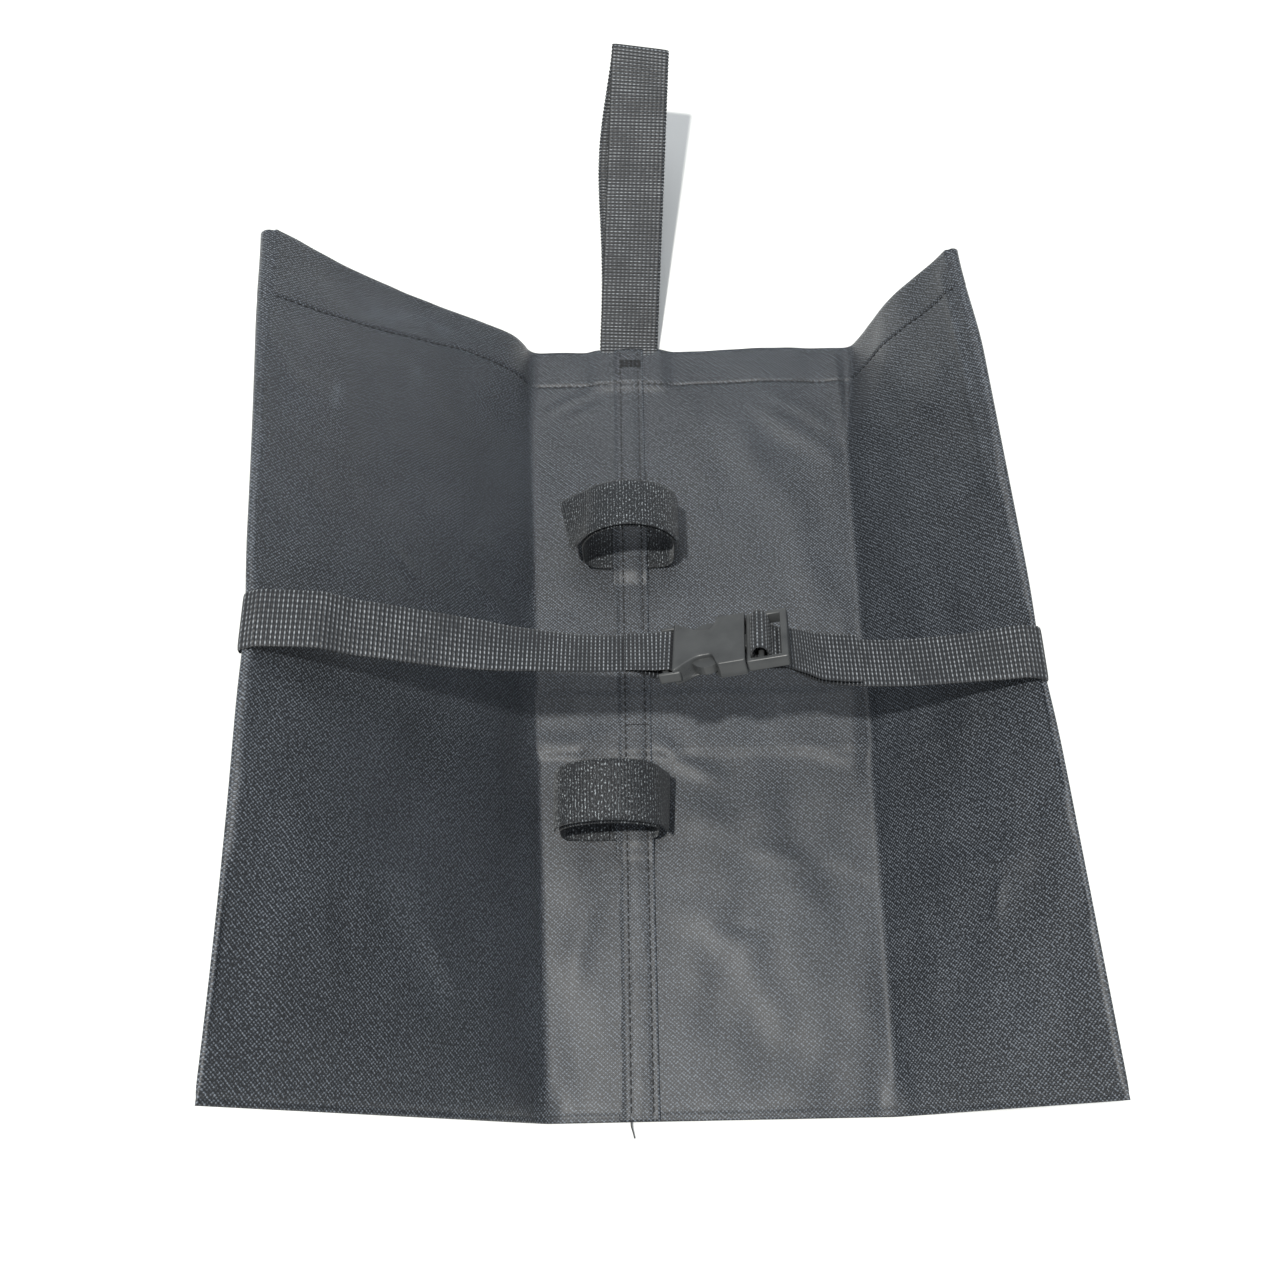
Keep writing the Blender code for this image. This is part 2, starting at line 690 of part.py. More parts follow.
def handle(empty):
    """A loop of webbing, folded at the tip, its back run bowed away from its front run."""
    out = Vector((HANDLE_LEAN, math.cos(HANDLE_RISE), math.sin(HANDLE_RISE)))
    up = Vector((0, -math.sin(HANDLE_RISE), math.cos(HANDLE_RISE)))
    half = (HANDLE_THICK + GAP) / 2
    tip = HANDLE_LENGTH - half - HANDLE_THICK / 2
    path = [(a, half) for a in spread(0, tip, 7)]
    path += [(tip + half * math.cos(t), half * math.sin(t)) for t in (math.pi / 4, 0.0, -math.pi / 4)]
    for a in spread(tip, 0, 19):
        bow = HANDLE_BOW * math.sin(math.pi * min(1.0, a / tip)) ** 2
        path.append((a, -half - bow))
    stations = [(HANDLE_ROOT + out * a + up * b, Vector((1, 0, 0))) for a, b in path]
    strap("handle_webbing", "webbing", stations, HANDLE_WIDTH, HANDLE_THICK, empty)


def bartack(name, low, high):
    """A stitched bar across the seam, over its two rows."""

    def place(x, y):
        return Vector((x, y, flap_z(x, y) + PLY / 2 + 2 * GAP + THREAD_THICK * 1.5))

    sheet(name, "thread", FLAP, (low, high), place, THREAD_THICK)


def ring_point(ring, turn, extra=0.0):
    """A point on a wound strap, by angle from +X towards +Z. Its lower half is flatter."""
    x, y, half_width, half_height = ring
    z = RING_FLOOR + LEG_STRAP_THICK / 2 + half_height
    across, up = math.cos(turn), math.sin(turn)
    if up < 0:
        up = -((1 - abs(across) ** RING_SQUARENESS) ** (1 / RING_SQUARENESS))
    return Vector((x + (half_width + extra) * across, y, z + (half_height + extra) * up))


def leg_strap(name, ring, opens, empty):
    """opens is 1 where the outer layer peels off towards +X, and -1 towards -X."""
    across = Vector((0, 1, 0))
    inner = [ring_point(ring, math.radians(a)) for a in spread(-88, 268, 33)]
    strap(f"{name}_leg_strap_loop", "hook_and_loop", [(p, across) for p in inner], LEG_STRAP_WIDTH, LEG_STRAP_THICK)

    layer = LEG_STRAP_THICK + GAP
    turns = [math.radians(90 - opens * (90 - a)) for a in spread(0, 146, 16)]
    outer = [ring_point(ring, turn, layer) for turn in turns]
    away = (outer[-1] - outer[-2]).normalized()
    outer += [outer[-1] + away * FREE_END * s for s in (0.35, 0.7, 1.0)]
    strap(f"{name}_leg_strap_flap", "hook_and_loop", [(p, across) for p in outer], LEG_STRAP_WIDTH, LEG_STRAP_THICK, empty)


# ---------------------------------------------------------------- assembly


clear_scene()
PARTS = collection("canopy_leg_weight_bag")
CUTTERS = collection("cutters")

BUCKLE = buckle_frame()
BUCKLE_U = BUCKLE.to_3x3() @ Vector((1, 0, 0))
BUCKLE_W = BUCKLE.to_3x3() @ Vector((0, 1, 0))
LEFT_EDGE = LEFT.edge_centre(BELT_Y)
RIGHT_EDGE = RIGHT.edge_centre(BELT_Y)
BELT_LINE = (RIGHT_EDGE - LEFT_EDGE).normalized()
BELT_NORMAL = Vector((-BELT_LINE.z, 0, BELT_LINE.x))
BELT_EDGE_OUT = LEFT.edge_radius(BELT_Y) + PLY / 2 + BELT_EDGE_CLEAR + BELT_THICK / 2
HANDLE_ROOT = Vector((0, END + HANDLE_OUT, FOLD_Z + HANDLE_TUCK / 2))
HANDLE_HINGE = HANDLE_ROOT + Vector((0, 0, HANDLE_HINGE_RISE))

centre_panels()
seam()
centre_hem_stitch()
centre_bottom_seam()
belt_back_run()
bartack("handle_bartack", HANDLE_BARTACK_END - HANDLE_BARTACK, HANDLE_BARTACK_END)
bartack("belt_bartack", BELT_Y - BARTACK_LENGTH, BELT_Y)

for wing, tape_shares in ((LEFT, (0.46, 0.92)), (RIGHT, (0.62, 0.93))):
    middle = Vector((wing.fold_x(0), 0, FOLD_Z))
    fold = joint_empty(f"{wing.name}_fold_axis", middle)
    wing_cloth(wing, fold)
    wing_trim(wing, fold, tape_shares)
    belt_wing_run(wing, fold)

belt_left_span(joint_empty("left_belt_axis", LEFT_EDGE))
belt_right_span(joint_empty("right_belt_axis", RIGHT_EDGE))
buckle_socket(joint_empty("socket_frame", LEFT_EDGE))
plug_axis = joint_empty("plug_axis", BUCKLE_CENTRE)
buckle_plug(plug_axis)
belt_ladder_wrap(plug_axis)
belt_tail(joint_empty("tail_axis", in_buckle(END_BAR_U, 0)))
for name, side in (("buckle_prong_near", -1), ("buckle_prong_far", 1)):
    root = BUCKLE @ Vector((SOCKET[1], side * PRONG_W, 0))
    buckle_prong(name, side, joint_empty(f"{name}_axis", root))

handle(joint_empty("handle_axis", HANDLE_HINGE))
for name, ring, opens in (("upper", UPPER_RING, 1), ("lower", LOWER_RING, -1)):
    start = ring_point(ring, 0.0 if opens > 0 else math.pi, LEG_STRAP_THICK + GAP)
    leg_strap(name, ring, opens, joint_empty(f"{name}_flap_axis", start))
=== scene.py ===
"""Looks of the flat canopy leg weight bag: coated cloth, ribbed webbing, thread, buckle and light.

X runs across the bag, +Y towards the carrying handle and +Z up, in metres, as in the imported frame.
Each chamber is one cloth: from the seam over the fold, up the wing, round its outer edge and back under.
"""

import math
import random

import bpy
import numpy as np
from mathutils import Matrix, Vector, noise


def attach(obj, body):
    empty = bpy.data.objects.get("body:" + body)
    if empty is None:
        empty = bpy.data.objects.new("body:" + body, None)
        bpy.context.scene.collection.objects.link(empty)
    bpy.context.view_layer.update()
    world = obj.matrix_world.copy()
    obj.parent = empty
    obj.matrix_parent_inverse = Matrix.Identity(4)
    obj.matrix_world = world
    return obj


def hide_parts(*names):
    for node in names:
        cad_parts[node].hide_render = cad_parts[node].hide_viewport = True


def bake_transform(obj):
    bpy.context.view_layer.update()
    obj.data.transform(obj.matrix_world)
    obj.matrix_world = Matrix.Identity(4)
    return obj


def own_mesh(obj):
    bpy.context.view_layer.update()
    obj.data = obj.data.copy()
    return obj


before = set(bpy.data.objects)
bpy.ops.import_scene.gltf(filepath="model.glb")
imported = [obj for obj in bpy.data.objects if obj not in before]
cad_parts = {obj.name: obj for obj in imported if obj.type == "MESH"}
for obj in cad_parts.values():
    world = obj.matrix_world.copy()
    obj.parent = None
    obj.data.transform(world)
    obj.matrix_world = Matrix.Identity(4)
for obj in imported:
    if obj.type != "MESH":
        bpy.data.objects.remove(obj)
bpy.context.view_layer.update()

MM = 0.001
X_AXIS = Vector((1, 0, 0))

# Bag, as the frame has it
BAG_LENGTH = 0.400
BAG_WIDTH = 0.427
END = BAG_LENGTH / 2
PLY = 0.9 * MM
GAP = 0.3 * MM
FOLD_Z = 2 * PLY + GAP
HEM = 22 * MM
FLAP = (-10.0 * MM, 7.5 * MM)
SEAM_ROWS = (-4.8 * MM, 4.8 * MM)

# Cloth as it really is
CLOTH = 0.5 * MM
TURNED_IN = 0.62 * MM
ROW = 2.1 * MM
FINE_ROW = 0.7 * MM
CORNER = 9 * MM
PAST_CORNER = 10 * MM
HEM_RISE = 0.35 * MM
BOTTOM_PINCH = 8 * MM
BOTTOM_GROOVE = 2.4 * MM
STITCH = 3.7 * MM
STITCH_LENGTH = 2.9 * MM
STITCH_RADIUS = 0.42 * MM

# Tapes inside the mouths
TAPE = 0.6 * MM
TAPE_WIDTH = 17 * MM
TAPE_SET_IN = 3 * MM

# Webbing
BELT_WIDTH = 25.4 * MM
BELT_THICK = 1.2 * MM
BELT_Y = -19 * MM
BELT_BUMP = BELT_THICK + GAP
BELT_TAIL = 44 * MM
TAIL_FED = 21 * MM
TURN_ON_WING = 14 * MM
TURN_OUTWARDS = 4 * MM
TURN_PAST_EDGE = 9 * MM
TURN_FADE = 6 * MM
BELT_RIB = 1.8 * MM
RIB_DEPTH = 0.2 * MM
HANDLE_WIDTH = 32 * MM
HANDLE_THICK = 1.4 * MM
HANDLE_LENGTH = 166.5 * MM
HANDLE_RISE = math.radians(24.8)
HANDLE_BOW = 13 * MM
HANDLE_SIDEWAYS = -5.5 * MM
HANDLE_LEAN = 0.06
HANDLE_TUCK = HANDLE_THICK + 2 * GAP
HANDLE_RIB = 2.0 * MM

# Leg straps
LEG_STRAP_WIDTH = 28 * MM
LEG_STRAP_THICK = 1.3 * MM
LEG_STRAP_RIB = 1.5 * MM
RING_FLOOR = FOLD_Z + GAP
RING_COVER = LEG_STRAP_THICK + 3 * GAP
RING_SQUARENESS = 5
UPPER_RING = (-1.6 * MM, 79 * MM, 23.0 * MM, 21.4 * MM)
LOWER_RING = (-12.6 * MM, -63 * MM, 23.4 * MM, 17.4 * MM)

# Buckle
BUCKLE_CENTRE = Vector((40.7, -19.0, 96.0)) * MM
BUCKLE_PITCH = math.radians(14)
BUCKLE_YAW = math.radians(3)
BUCKLE_ROLL = math.radians(27)
SOCKET_BAR_U = -27.2 * MM
SOCKET_WRAP = 3.1 * MM
MIDDLE_BAR_U = 13.0 * MM
PLUG_LOW = 3.2 * MM
PLUG_HIGH = 2.6 * MM
LOOP = (3.4 * MM, 5.0 * MM)
LOOP_RISE = 1.5 * MM
SOCKET_HALF = 15.6 * MM
SOCKET_THICK = 4.1 * MM
SCOOP = 7.2 * MM
SOCKET_LEDGE = -2.9 * MM
SOCKET_ENDS = (-23.4 * MM, 6.5 * MM)
CAVITY = (12.1 * MM, 2.7 * MM)
# Ends in u, w and n of the buckle's plain blocks, and the cuts of its ladder in u and w, in mm
SOCKET_RAILS = [
    ((-30.2, -20.5), (-15.5, -13.7), (-2.6, 2.6)),
    ((-30.2, -20.5), (13.7, 15.5), (-2.6, 2.6)),
    ((-28.6, -25.8), (-14.4, 14.4), (-1.6, 1.6)),
]
PLUG_TONGUE = [((-8.0, 7.6), (-4.0, 4.0), (-1.4, 1.4))]
LADDER_CUTS = ((7.2, 9.2, 12.2, 14.6, 21.6, 24.6), (-15.6, -13.3, 13.3, 15.6))

# View
LIT_POINT = Vector((10, 20, 30)) * MM
FLOOR_HALF = 6
FLOOR_DROP = 0.5 * MM
CAMERA_PLACE = Vector((3, -234, 588)) * MM
CAMERA_TILT = math.radians(23.9)
CAMERA_ROLL = math.radians(-1.17)
CAMERA_LENS = 36.1


# ---- small tools


def smooth(x):
    """0 up to x = 0 and 1 from x = 1, with a soft step between."""
    x = min(1.0, max(0.0, x))
    return x * x * (3 - 2 * x)


def spread(low, high, count):
    return [low + (high - low) * i / (count - 1) for i in range(count)]


def steps(low, high, size):
    """From low up to high in equal steps of about size."""
    return spread(low, high, max(2, round(abs(high - low) / size) + 1))


def merged(values, least):
    """Sorted values, without any that is closer than least to the one before it."""
    kept = []
    for value in sorted(values):
        if not kept or value - kept[-1] > least:
            kept.append(value)
    return kept


def bell(x, width):
    return math.exp(-((x / width) ** 2))


def wander(x, y, z=0.0):
    """Smooth noise from -1 to 1."""
    return noise.noise(Vector((x, y, z)))


def along(y):
    """0 at the closed bottom, 1 at the mouth."""
    return y / BAG_LENGTH + 0.5


# ---- materials


class Value:
    """One output of a material's nodes, which can be added and multiplied like a number."""

    def __init__(self, tree, output):
        self.tree, self.output = tree, output

    def combined(self, kind, other=0.0):
        node = self.tree.nodes.new("ShaderNodeMath")
        node.operation = kind
        self.tree.links.new(self.output, node.inputs[0])
        if isinstance(other, Value):
            self.tree.links.new(other.output, node.inputs[1])
        else:
            node.inputs[1].default_value = other
        return Value(self.tree, node.outputs[0])

    def __add__(self, other):
        return self.combined("ADD", other)

    def __mul__(self, other):
        return self.combined("MULTIPLY", other)

    def wave(self, pitch, shift=0.0):
        """-1 to 1, once each pitch."""
        return (self * (2 * math.pi / pitch) + shift).combined("SINE")

    def ramp(self, low, high, to_low=0.0, to_high=1.0):
        node = self.tree.nodes.new("ShaderNodeMapRange")
        for name, number in zip(("From Min", "From Max", "To Min", "To Max"), (low, high, to_low, to_high)):
            node.inputs[name].default_value = number
        self.tree.links.new(self.output, node.inputs["Value"])
        return Value(self.tree, node.outputs[0])

    def colours(self, *stops):
        """The output of a colour ramp with these stops, each a place and a colour."""
        node = self.tree.nodes.new("ShaderNodeValToRGB")
        ramp = node.color_ramp
        while len(ramp.elements) < len(stops):
            ramp.elements.new(0.5)
        for element, (place, colour) in zip(ramp.elements, stops):
            element.position = place
            element.color = (*colour, 1.0)
        self.tree.links.new(self.output, node.inputs["Fac"])
        return node.outputs["Color"]


class Nodes:
    """One material: its shader's numbers, what its textures start from, and its finish."""

    def __init__(self, name, roughness, specular=0.5, sheen=0.0, coat=0.0):
        self.material = bpy.data.materials.new(name)
        self.material.use_nodes = True
        self.tree = self.material.node_tree
        self.shader = self.tree.nodes["Principled BSDF"]
        numbers = {"Roughness": roughness, "Specular IOR Level": specular, "Sheen Weight": sheen}
        numbers |= {"Sheen Roughness": 0.5, "Coat Weight": coat, "Coat Roughness": 0.5, "Coat IOR": 1.6}
        for name, number in numbers.items():
            self.shader.inputs[name].default_value = number

    def cut(self):
        """The place on the flat cloth or strap, in metres, whole and as two values."""
        place = self.tree.nodes.new("ShaderNodeUVMap")
        place.uv_map = "cut"
        split = self.tree.nodes.new("ShaderNodeSeparateXYZ")
        self.tree.links.new(place.outputs[0], split.inputs[0])
        return place.outputs[0], Value(self.tree, split.outputs[0]), Value(self.tree, split.outputs[1])

    def on_object(self):
        return self.tree.nodes.new("ShaderNodeTexCoord").outputs["Object"]

    def attribute(self, name):
        node = self.tree.nodes.new("ShaderNodeAttribute")
        node.attribute_name = name
        return Value(self.tree, node.outputs["Fac"])

    def noise(self, place, scale, detail=2.0, rough=0.5):
        node = self.tree.nodes.new("ShaderNodeTexNoise")
        for name, number in (("Scale", scale), ("Detail", detail), ("Roughness", rough)):
            node.inputs[name].default_value = number
        self.tree.links.new(place, node.inputs["Vector"])
        return Value(self.tree, node.outputs["Fac"])

    def finish(self, colour, roughness, height, depth, strength):
        """The material, with height as a bump of so many metres."""
        bump = self.tree.nodes.new("ShaderNodeBump")
        bump.inputs["Strength"].default_value = strength
        bump.inputs["Distance"].default_value = depth
        self.tree.links.new(height.output, bump.inputs["Height"])
        self.tree.links.new(colour, self.shader.inputs["Base Color"])
        self.tree.links.new(roughness.output, self.shader.inputs["Roughness"])
        self.tree.links.new(bump.outputs["Normal"], self.shader.inputs["Normal"])
        return self.material


def coated_oxford():
    """Black coated oxford: a plain weave under a thin film, with scuffed, dusty places and painted
    highlights.
    """
    n = Nodes("coated_oxford_look", 0.5, specular=0.4, sheen=0.03, coat=0.55)
    place, u, v = n.cut()
    weave = u.wave(1.7 * MM) * v.wave(1.6 * MM)
    twill = (u * 0.75 + v).wave(2.5 * MM)
    slub = n.noise(place, 900.0, 2.0, 0.6)
    cloud = n.noise(place, 22.0, 4.0)
    yarns = twill.ramp(-1, 1, 0.45, 1.0) * slub.ramp(0.38, 0.64, 0.05, 1.0)
    yarns = yarns * weave.ramp(-0.5, 0.8, 0.12, 1.0)
    # Lighter where scuffed and dusty, and painted highlights on rounded edges, the flap's edge and creases.
    scuffed_and_highlit_mask = n.attribute("scuffs_and_highlights") * n.noise(place, 120.0, 4.0).ramp(0.35, 0.7)
    shade = weave.ramp(-1, 1, -0.10, 0.26) + yarns * 1.75
    shade = shade + cloud.ramp(0.3, 0.7, -0.05, 0.07) + scuffed_and_highlit_mask * 1.1
    dark, middle, light = (0.002, 0.0028, 0.0046), (0.0105, 0.0138, 0.0192), (0.15, 0.172, 0.203)
    colour = shade.colours((0.0, dark), (0.4, middle), (1.0, light))
    roughness = slub.ramp(0.3, 0.7, 0.52, 0.36) + weave.ramp(-1, 1, 0.05, -0.04)
    return n.finish(colour, roughness, weave * 0.7 + yarns * 1.5, 0.2 * MM, 0.8)


def webbing():
    """Polypropylene webbing: painted highlights on the ribs' floats, painted shade between them."""
    n = Nodes("webbing_look", 0.5, sheen=0.1)
    place, u, v = n.cut()
    rib, yarn = u.wave(BELT_RIB, math.pi / 2), v.wave(2.3 * MM)
    fleck, broad = n.noise(place, 620.0), n.noise(place, 60.0)
    # The dark webbing with painted highlights on its rib tops and painted shade between the ribs.
    rib_highlight = rib.ramp(0.15, 0.9) * yarn.ramp(-0.8, 0.8, 0.42, 1.0)
    rib_highlight = rib_highlight * fleck.ramp(0.34, 0.58, 0.5, 1.0) * broad.ramp(0.3, 0.7, 0.7, 1.2)
    dark, middle, light = (0.008, 0.009, 0.011), (0.036, 0.041, 0.047), (0.30, 0.32, 0.34)
    colour = rib_highlight.colours((0.0, dark), (0.35, middle), (1.0, light))
    return n.finish(colour, fleck.ramp(0.3, 0.7, 0.42, 0.62), yarn * 0.5 + fleck, 0.12 * MM, 0.9)


def hook_and_loop():
    """Nylon hook-and-loop strap: short upright fibres with painted glints on their ends."""
    n = Nodes("hook_and_loop_look", 0.6, specular=0.45, sheen=0.15)
    place, u, _ = n.cut()
    stretched = n.tree.nodes.new("ShaderNodeMapping")
    stretched.inputs["Scale"].default_value = (1500.0, 850.0, 1.0)
    n.tree.links.new(place, stretched.inputs["Vector"])
    fibres = n.noise(stretched.outputs[0], 1.0, 3.0, 0.6)
    rows = u.wave(1.5 * MM)
    # Painted glints on the fibre ends, in rows.
    tip_glints = fibres.ramp(0.47, 0.68) * rows.ramp(-1, 1, 0.35, 1.0)
    dark, middle, light = (0.004, 0.005, 0.007), (0.019, 0.024, 0.029), (0.47, 0.51, 0.54)
    colour = tip_glints.colours((0.0, dark), (0.3, middle), (1.0, light))
    return n.finish(colour, fibres.ramp(0.3, 0.7, 0.75, 0.45), fibres + rows * 0.25, 0.35 * MM, 0.9)


def acetal():
    """Moulded acetal: a fine spark-eroded grain, polished where fingers press."""
    n = Nodes("acetal_look", 0.42)
    where = n.on_object()
    grain, hand = n.noise(where, 2600.0), n.noise(where, 90.0, 3.0)
    colour = hand.colours((0.3, (0.040, 0.042, 0.043)), (0.7, (0.062, 0.065, 0.066)))
    roughness = hand.ramp(0.3, 0.7, 0.28, 0.4) + grain.ramp(0.3, 0.7, -0.03, 0.05)
    return n.finish(colour, roughness, grain, 0.03 * MM, 0.5)


def thread():
    """Bonded polyester thread, twisted."""
    n = Nodes("thread_look", 0.5, sheen=0.1)
    fuzz = n.noise(n.on_object(), 2500.0)
    colour = fuzz.colours((0.3, (0.004, 0.004, 0.005)), (0.7, (0.016, 0.017, 0.019)))
    return n.finish(colour, fuzz.ramp(0.3, 0.7, 0.42, 0.6), fuzz, 0.08 * MM, 0.8)


MATERIALS = {make.__name__: make() for make in (coated_oxford, webbing, hook_and_loop, acetal, thread)}


# ---- mesh tools


def placed(name, data):
    """A new object in the scene."""
    obj = bpy.data.objects.new(name, data)
    bpy.context.scene.collection.objects.link(obj)
    return obj


def add_mesh(name, points, faces, slot, uvs=None, scuffs_and_highlights=None):
    """A smooth mesh piece. uvs gives each point's place on the flat piece."""
    mesh = bpy.data.meshes.new(name)
    mesh.from_pydata([tuple(p) for p in points], [], faces)
    mesh.materials.append(MATERIALS[slot])
    if uvs is not None:
        layer = mesh.uv_layers.new(name="cut")
        corners = np.zeros(len(mesh.loops), np.int32)
        mesh.loops.foreach_get("vertex_index", corners)
        layer.data.foreach_set("uv", np.asarray(uvs, np.float32)[corners].ravel())
    if scuffs_and_highlights is not None:
        values = mesh.attributes.new("scuffs_and_highlights", "FLOAT", "POINT").data
        values.foreach_set("value", np.asarray(scuffs_and_highlights, np.float32))
    mesh.validate()
    mesh.shade_smooth()
    obj = placed(name, mesh)
    return obj


def grid_faces(rows, columns, flip=False):
    """Faces between open rows of points."""
    starts = [i * columns + j for i in range(rows - 1) for j in range(columns - 1)]
    faces = [(a, a + 1, a + columns + 1, a + columns) for a in starts]
    return [face[::-1] for face in faces] if flip else faces


def tube_faces(rings, count, first=0, flip=False):
    """Faces between closed rings of count points each, the first point being number first."""
    faces = []
    for base in range(first, first + (rings - 1) * count, count):
        for k in range(count):
            a, b = base + k, base + (k + 1) % count
            faces.append((a, a + count, b + count, b) if flip else (a, b, b + count, a + count))
    return faces


def thicken(obj, thick):
    shell = obj.modifiers.new("thickness", "SOLIDIFY")
    shell.thickness = thick
    shell.offset = 0
    shell.use_even_offset = True
    return obj


def smooth_path(stations, step):
    """Evenly spaced points and widthwise directions on a smooth line through the stations."""
    points, widths = (np.array([tuple(station[k]) for station in stations], float) for k in (0, 1))
    padded = np.vstack([2 * points[0] - points[1], points, 2 * points[-1] - points[-2]])
    gaps = np.linalg.norm(np.diff(padded, axis=0), axis=1)
    slopes = (padded[2:] - padded[:-2]) / np.maximum(1e-9, gaps[1:] + gaps[:-1])[:, None]
    fine = []
    for k in range(len(points) - 1):
        leave, arrive = slopes[k] * gaps[k + 1], slopes[k + 1] * gaps[k + 1]
        for t in np.linspace(0, 1, 24, endpoint=False):
            h = (2 * t**3 - 3 * t**2 + 1, t**3 - 2 * t**2 + t, -2 * t**3 + 3 * t**2, t**3 - t**2)
            here = h[0] * points[k] + h[1] * leave + h[2] * points[k + 1] + h[3] * arrive
            fine.append([*here, *(widths[k] * (1 - t) + widths[k + 1] * t)])
    fine = np.array(fine + [[*points[-1], *widths[-1]]])
    lengths = np.concatenate([[0], np.cumsum(np.linalg.norm(np.diff(fine[:, :3], axis=0), axis=1))])
    places = np.linspace(0, lengths[-1], max(3, round(lengths[-1] / step) + 1))
    even = np.column_stack([np.interp(places, lengths, values) for values in fine.T])
    across = even[:, 3:] / np.linalg.norm(even[:, 3:], axis=1)[:, None]
    return even[:, :3], across, places


class Strap:
    """A woven strap along a path: ribs across it, rounded selvedges and square-cut ends."""

    ACROSS = 13

    def __init__(self, stations, width, thick, rib, depth, slot):
        self.line, self.across, self.places = smooth_path(stations, rib / 5)
        self.width, self.thick, self.rib, self.depth, self.slot = width, thick, rib, depth, slot
        ahead = np.gradient(self.line, axis=0)
        ahead /= np.linalg.norm(ahead, axis=1)[:, None]
        self.out = np.cross(ahead, self.across)
        self.out /= np.linalg.norm(self.out, axis=1)[:, None]

    def piece(self, name, first=None, last=None, caps=(True, True)):
        """The stretch between two places along the strap, in metres from its start."""
        low = 0 if first is None else int(np.searchsorted(self.places, first))
        high = len(self.places) if last is None else int(np.searchsorted(self.places, last)) + 1
        points, uvs = [], []
        turn = math.pi / 2 * 0.97
        shares = np.sin(np.linspace(-1, 1, self.ACROSS) * turn) / math.sin(turn)
        for k in range(low, high):
            place = self.places[k]
            beat = math.cos(2 * math.pi * place / self.rib)
            half = self.thick / 2 + self.depth * beat - self.depth
            narrowed = 1 - 0.012 * (1 - beat)
            for side in (1, -1):
                for share in shares if side > 0 else shares[::-1]:
                    rise = side * (1 - abs(share) ** 10) ** 0.5 * half
                    edge = share * self.width / 2
                    points.append(self.line[k] + self.across[k] * (edge * narrowed) + self.out[k] * rise)
                    uvs.append((place, edge + (0 if side > 0 else 0.1)))
        ring = 2 * self.ACROSS
        faces = tube_faces(high - low, ring)
        cap = [(j, ring - 1 - j, ring - 2 - j, j + 1) for j in range(self.ACROSS - 1)]
        if caps[0]:
            faces += cap
        if caps[1]:
            last_ring = (high - low - 1) * ring
            faces += [(last_ring + a, last_ring + d, last_ring + c, last_ring + b) for a, b, c, d in cap]
        return add_mesh(name, points, faces, self.slot, uvs)


def stitches(name, lines, radius=STITCH_RADIUS):
    """Rows of short stitches. Each line is its points and the way out of the cloth."""
    sides, shares = 6, ((0.0, 0.0), (0.12, 0.75), (0.5, 1.0), (0.88, 0.75), (1.0, 0.0))
    points, faces = [], []
    for start, end, out in lines:
        start, end, out = Vector(start), Vector(end), Vector(out)
        run = end - start
        side = run.cross(out).normalized()
        first = len(points)
        for share, full in shares:
            middle = start + run * share + out * (radius * (0.9 * math.sin(math.pi * share) - 0.35))
            for k in range(sides):
                turn = 2 * math.pi * k / sides
                spoke = side * math.cos(turn) + out * math.sin(turn)
                points.append(middle + spoke * (radius * max(full, 0.2)))
        faces += tube_faces(len(shares), sides, first)
        faces.append(tuple(range(first, first + sides))[::-1])
        faces.append(tuple(range(len(points) - sides, len(points))))
    return add_mesh(name, points, faces, "thread")


def row_of_stitches(place, low, high):
    """Stitches from low to high. place(s, wobble) gives a point and the way out of the cloth."""
    made = []
    count = int((high - low) / STITCH)
    for k in range(count):
        s = low + (k + 0.5) * (high - low) / count
        wobble = 0.12 * MM * wander(s * 900, 3.7)
        start, out = place(s - STITCH_LENGTH / 2, wobble)
        end, _ = place(s + STITCH_LENGTH / 2, -wobble)
        made.append((start, end, out))
    return made


# ---- shape of the bag


def lift(y):
    """How far the panels rise over the belt, which runs under them."""
    off = abs(y - BELT_Y) - BELT_WIDTH / 2 - 1 * MM
    return BELT_BUMP * (1 - smooth(off / (4 * MM)))


def tuck(x, y):
    """How far the front rises over the handle's sewn-in ends."""
    sideways = 1 - smooth((abs(x) - HANDLE_WIDTH / 2 - GAP) / (8 * MM))
    endways = smooth((y - (END - HEM - 6 * MM)) / (8 * MM))
    return HANDLE_TUCK * sideways * endways


def ring_cover(y):
    """How far the seam's flap rises over the leg straps, which are caught under it."""
    off = min(abs(y - ring[1]) for ring in (UPPER_RING, LOWER_RING)) - LEG_STRAP_WIDTH / 2 - 1 * MM
    return RING_COVER * (1 - smooth(off / (9 * MM)))


def pinch(y):
    """1 where the plies meet in the bottom seam, 0 above it."""
    return 1 - smooth((y + END) / BOTTOM_PINCH)


def hem_relief(y, line=END - HEM, groove=0.45 * MM):
    """The turned hem's thickness, and the groove that its stitches pull in."""
    off = y - line
    return HEM_RISE * smooth(off / (1.5 * MM)) - groove * bell(off, 0.9 * MM)


def bottom_relief(y):
    return -0.32 * MM * bell(y + END - BOTTOM_GROOVE, 0.8 * MM)


class Crease:
    """A soft ridge or valley along a line on the cloth, from its seam to its outer edge."""

    def __init__(self, points, width, height):
        self.points = [Vector(p) * MM for p in points]
        self.width, self.height = width * MM, height * MM

    def __call__(self, x, y):
        here = Vector((x, y))
        best, done, total = 1e9, 0.0, 0.0
        for a, b in zip(self.points, self.points[1:]):
            run = b - a
            t = min(1.0, max(0.0, (here - a).dot(run) / run.length_squared))
            off = (a + run * t - here).length
            if off < best:
                best, done = off, total + t * run.length
            total += run.length
        share = done / total
        return self.height * bell(best, self.width) * math.sin(math.pi * (0.12 + 0.76 * share)) ** 0.8


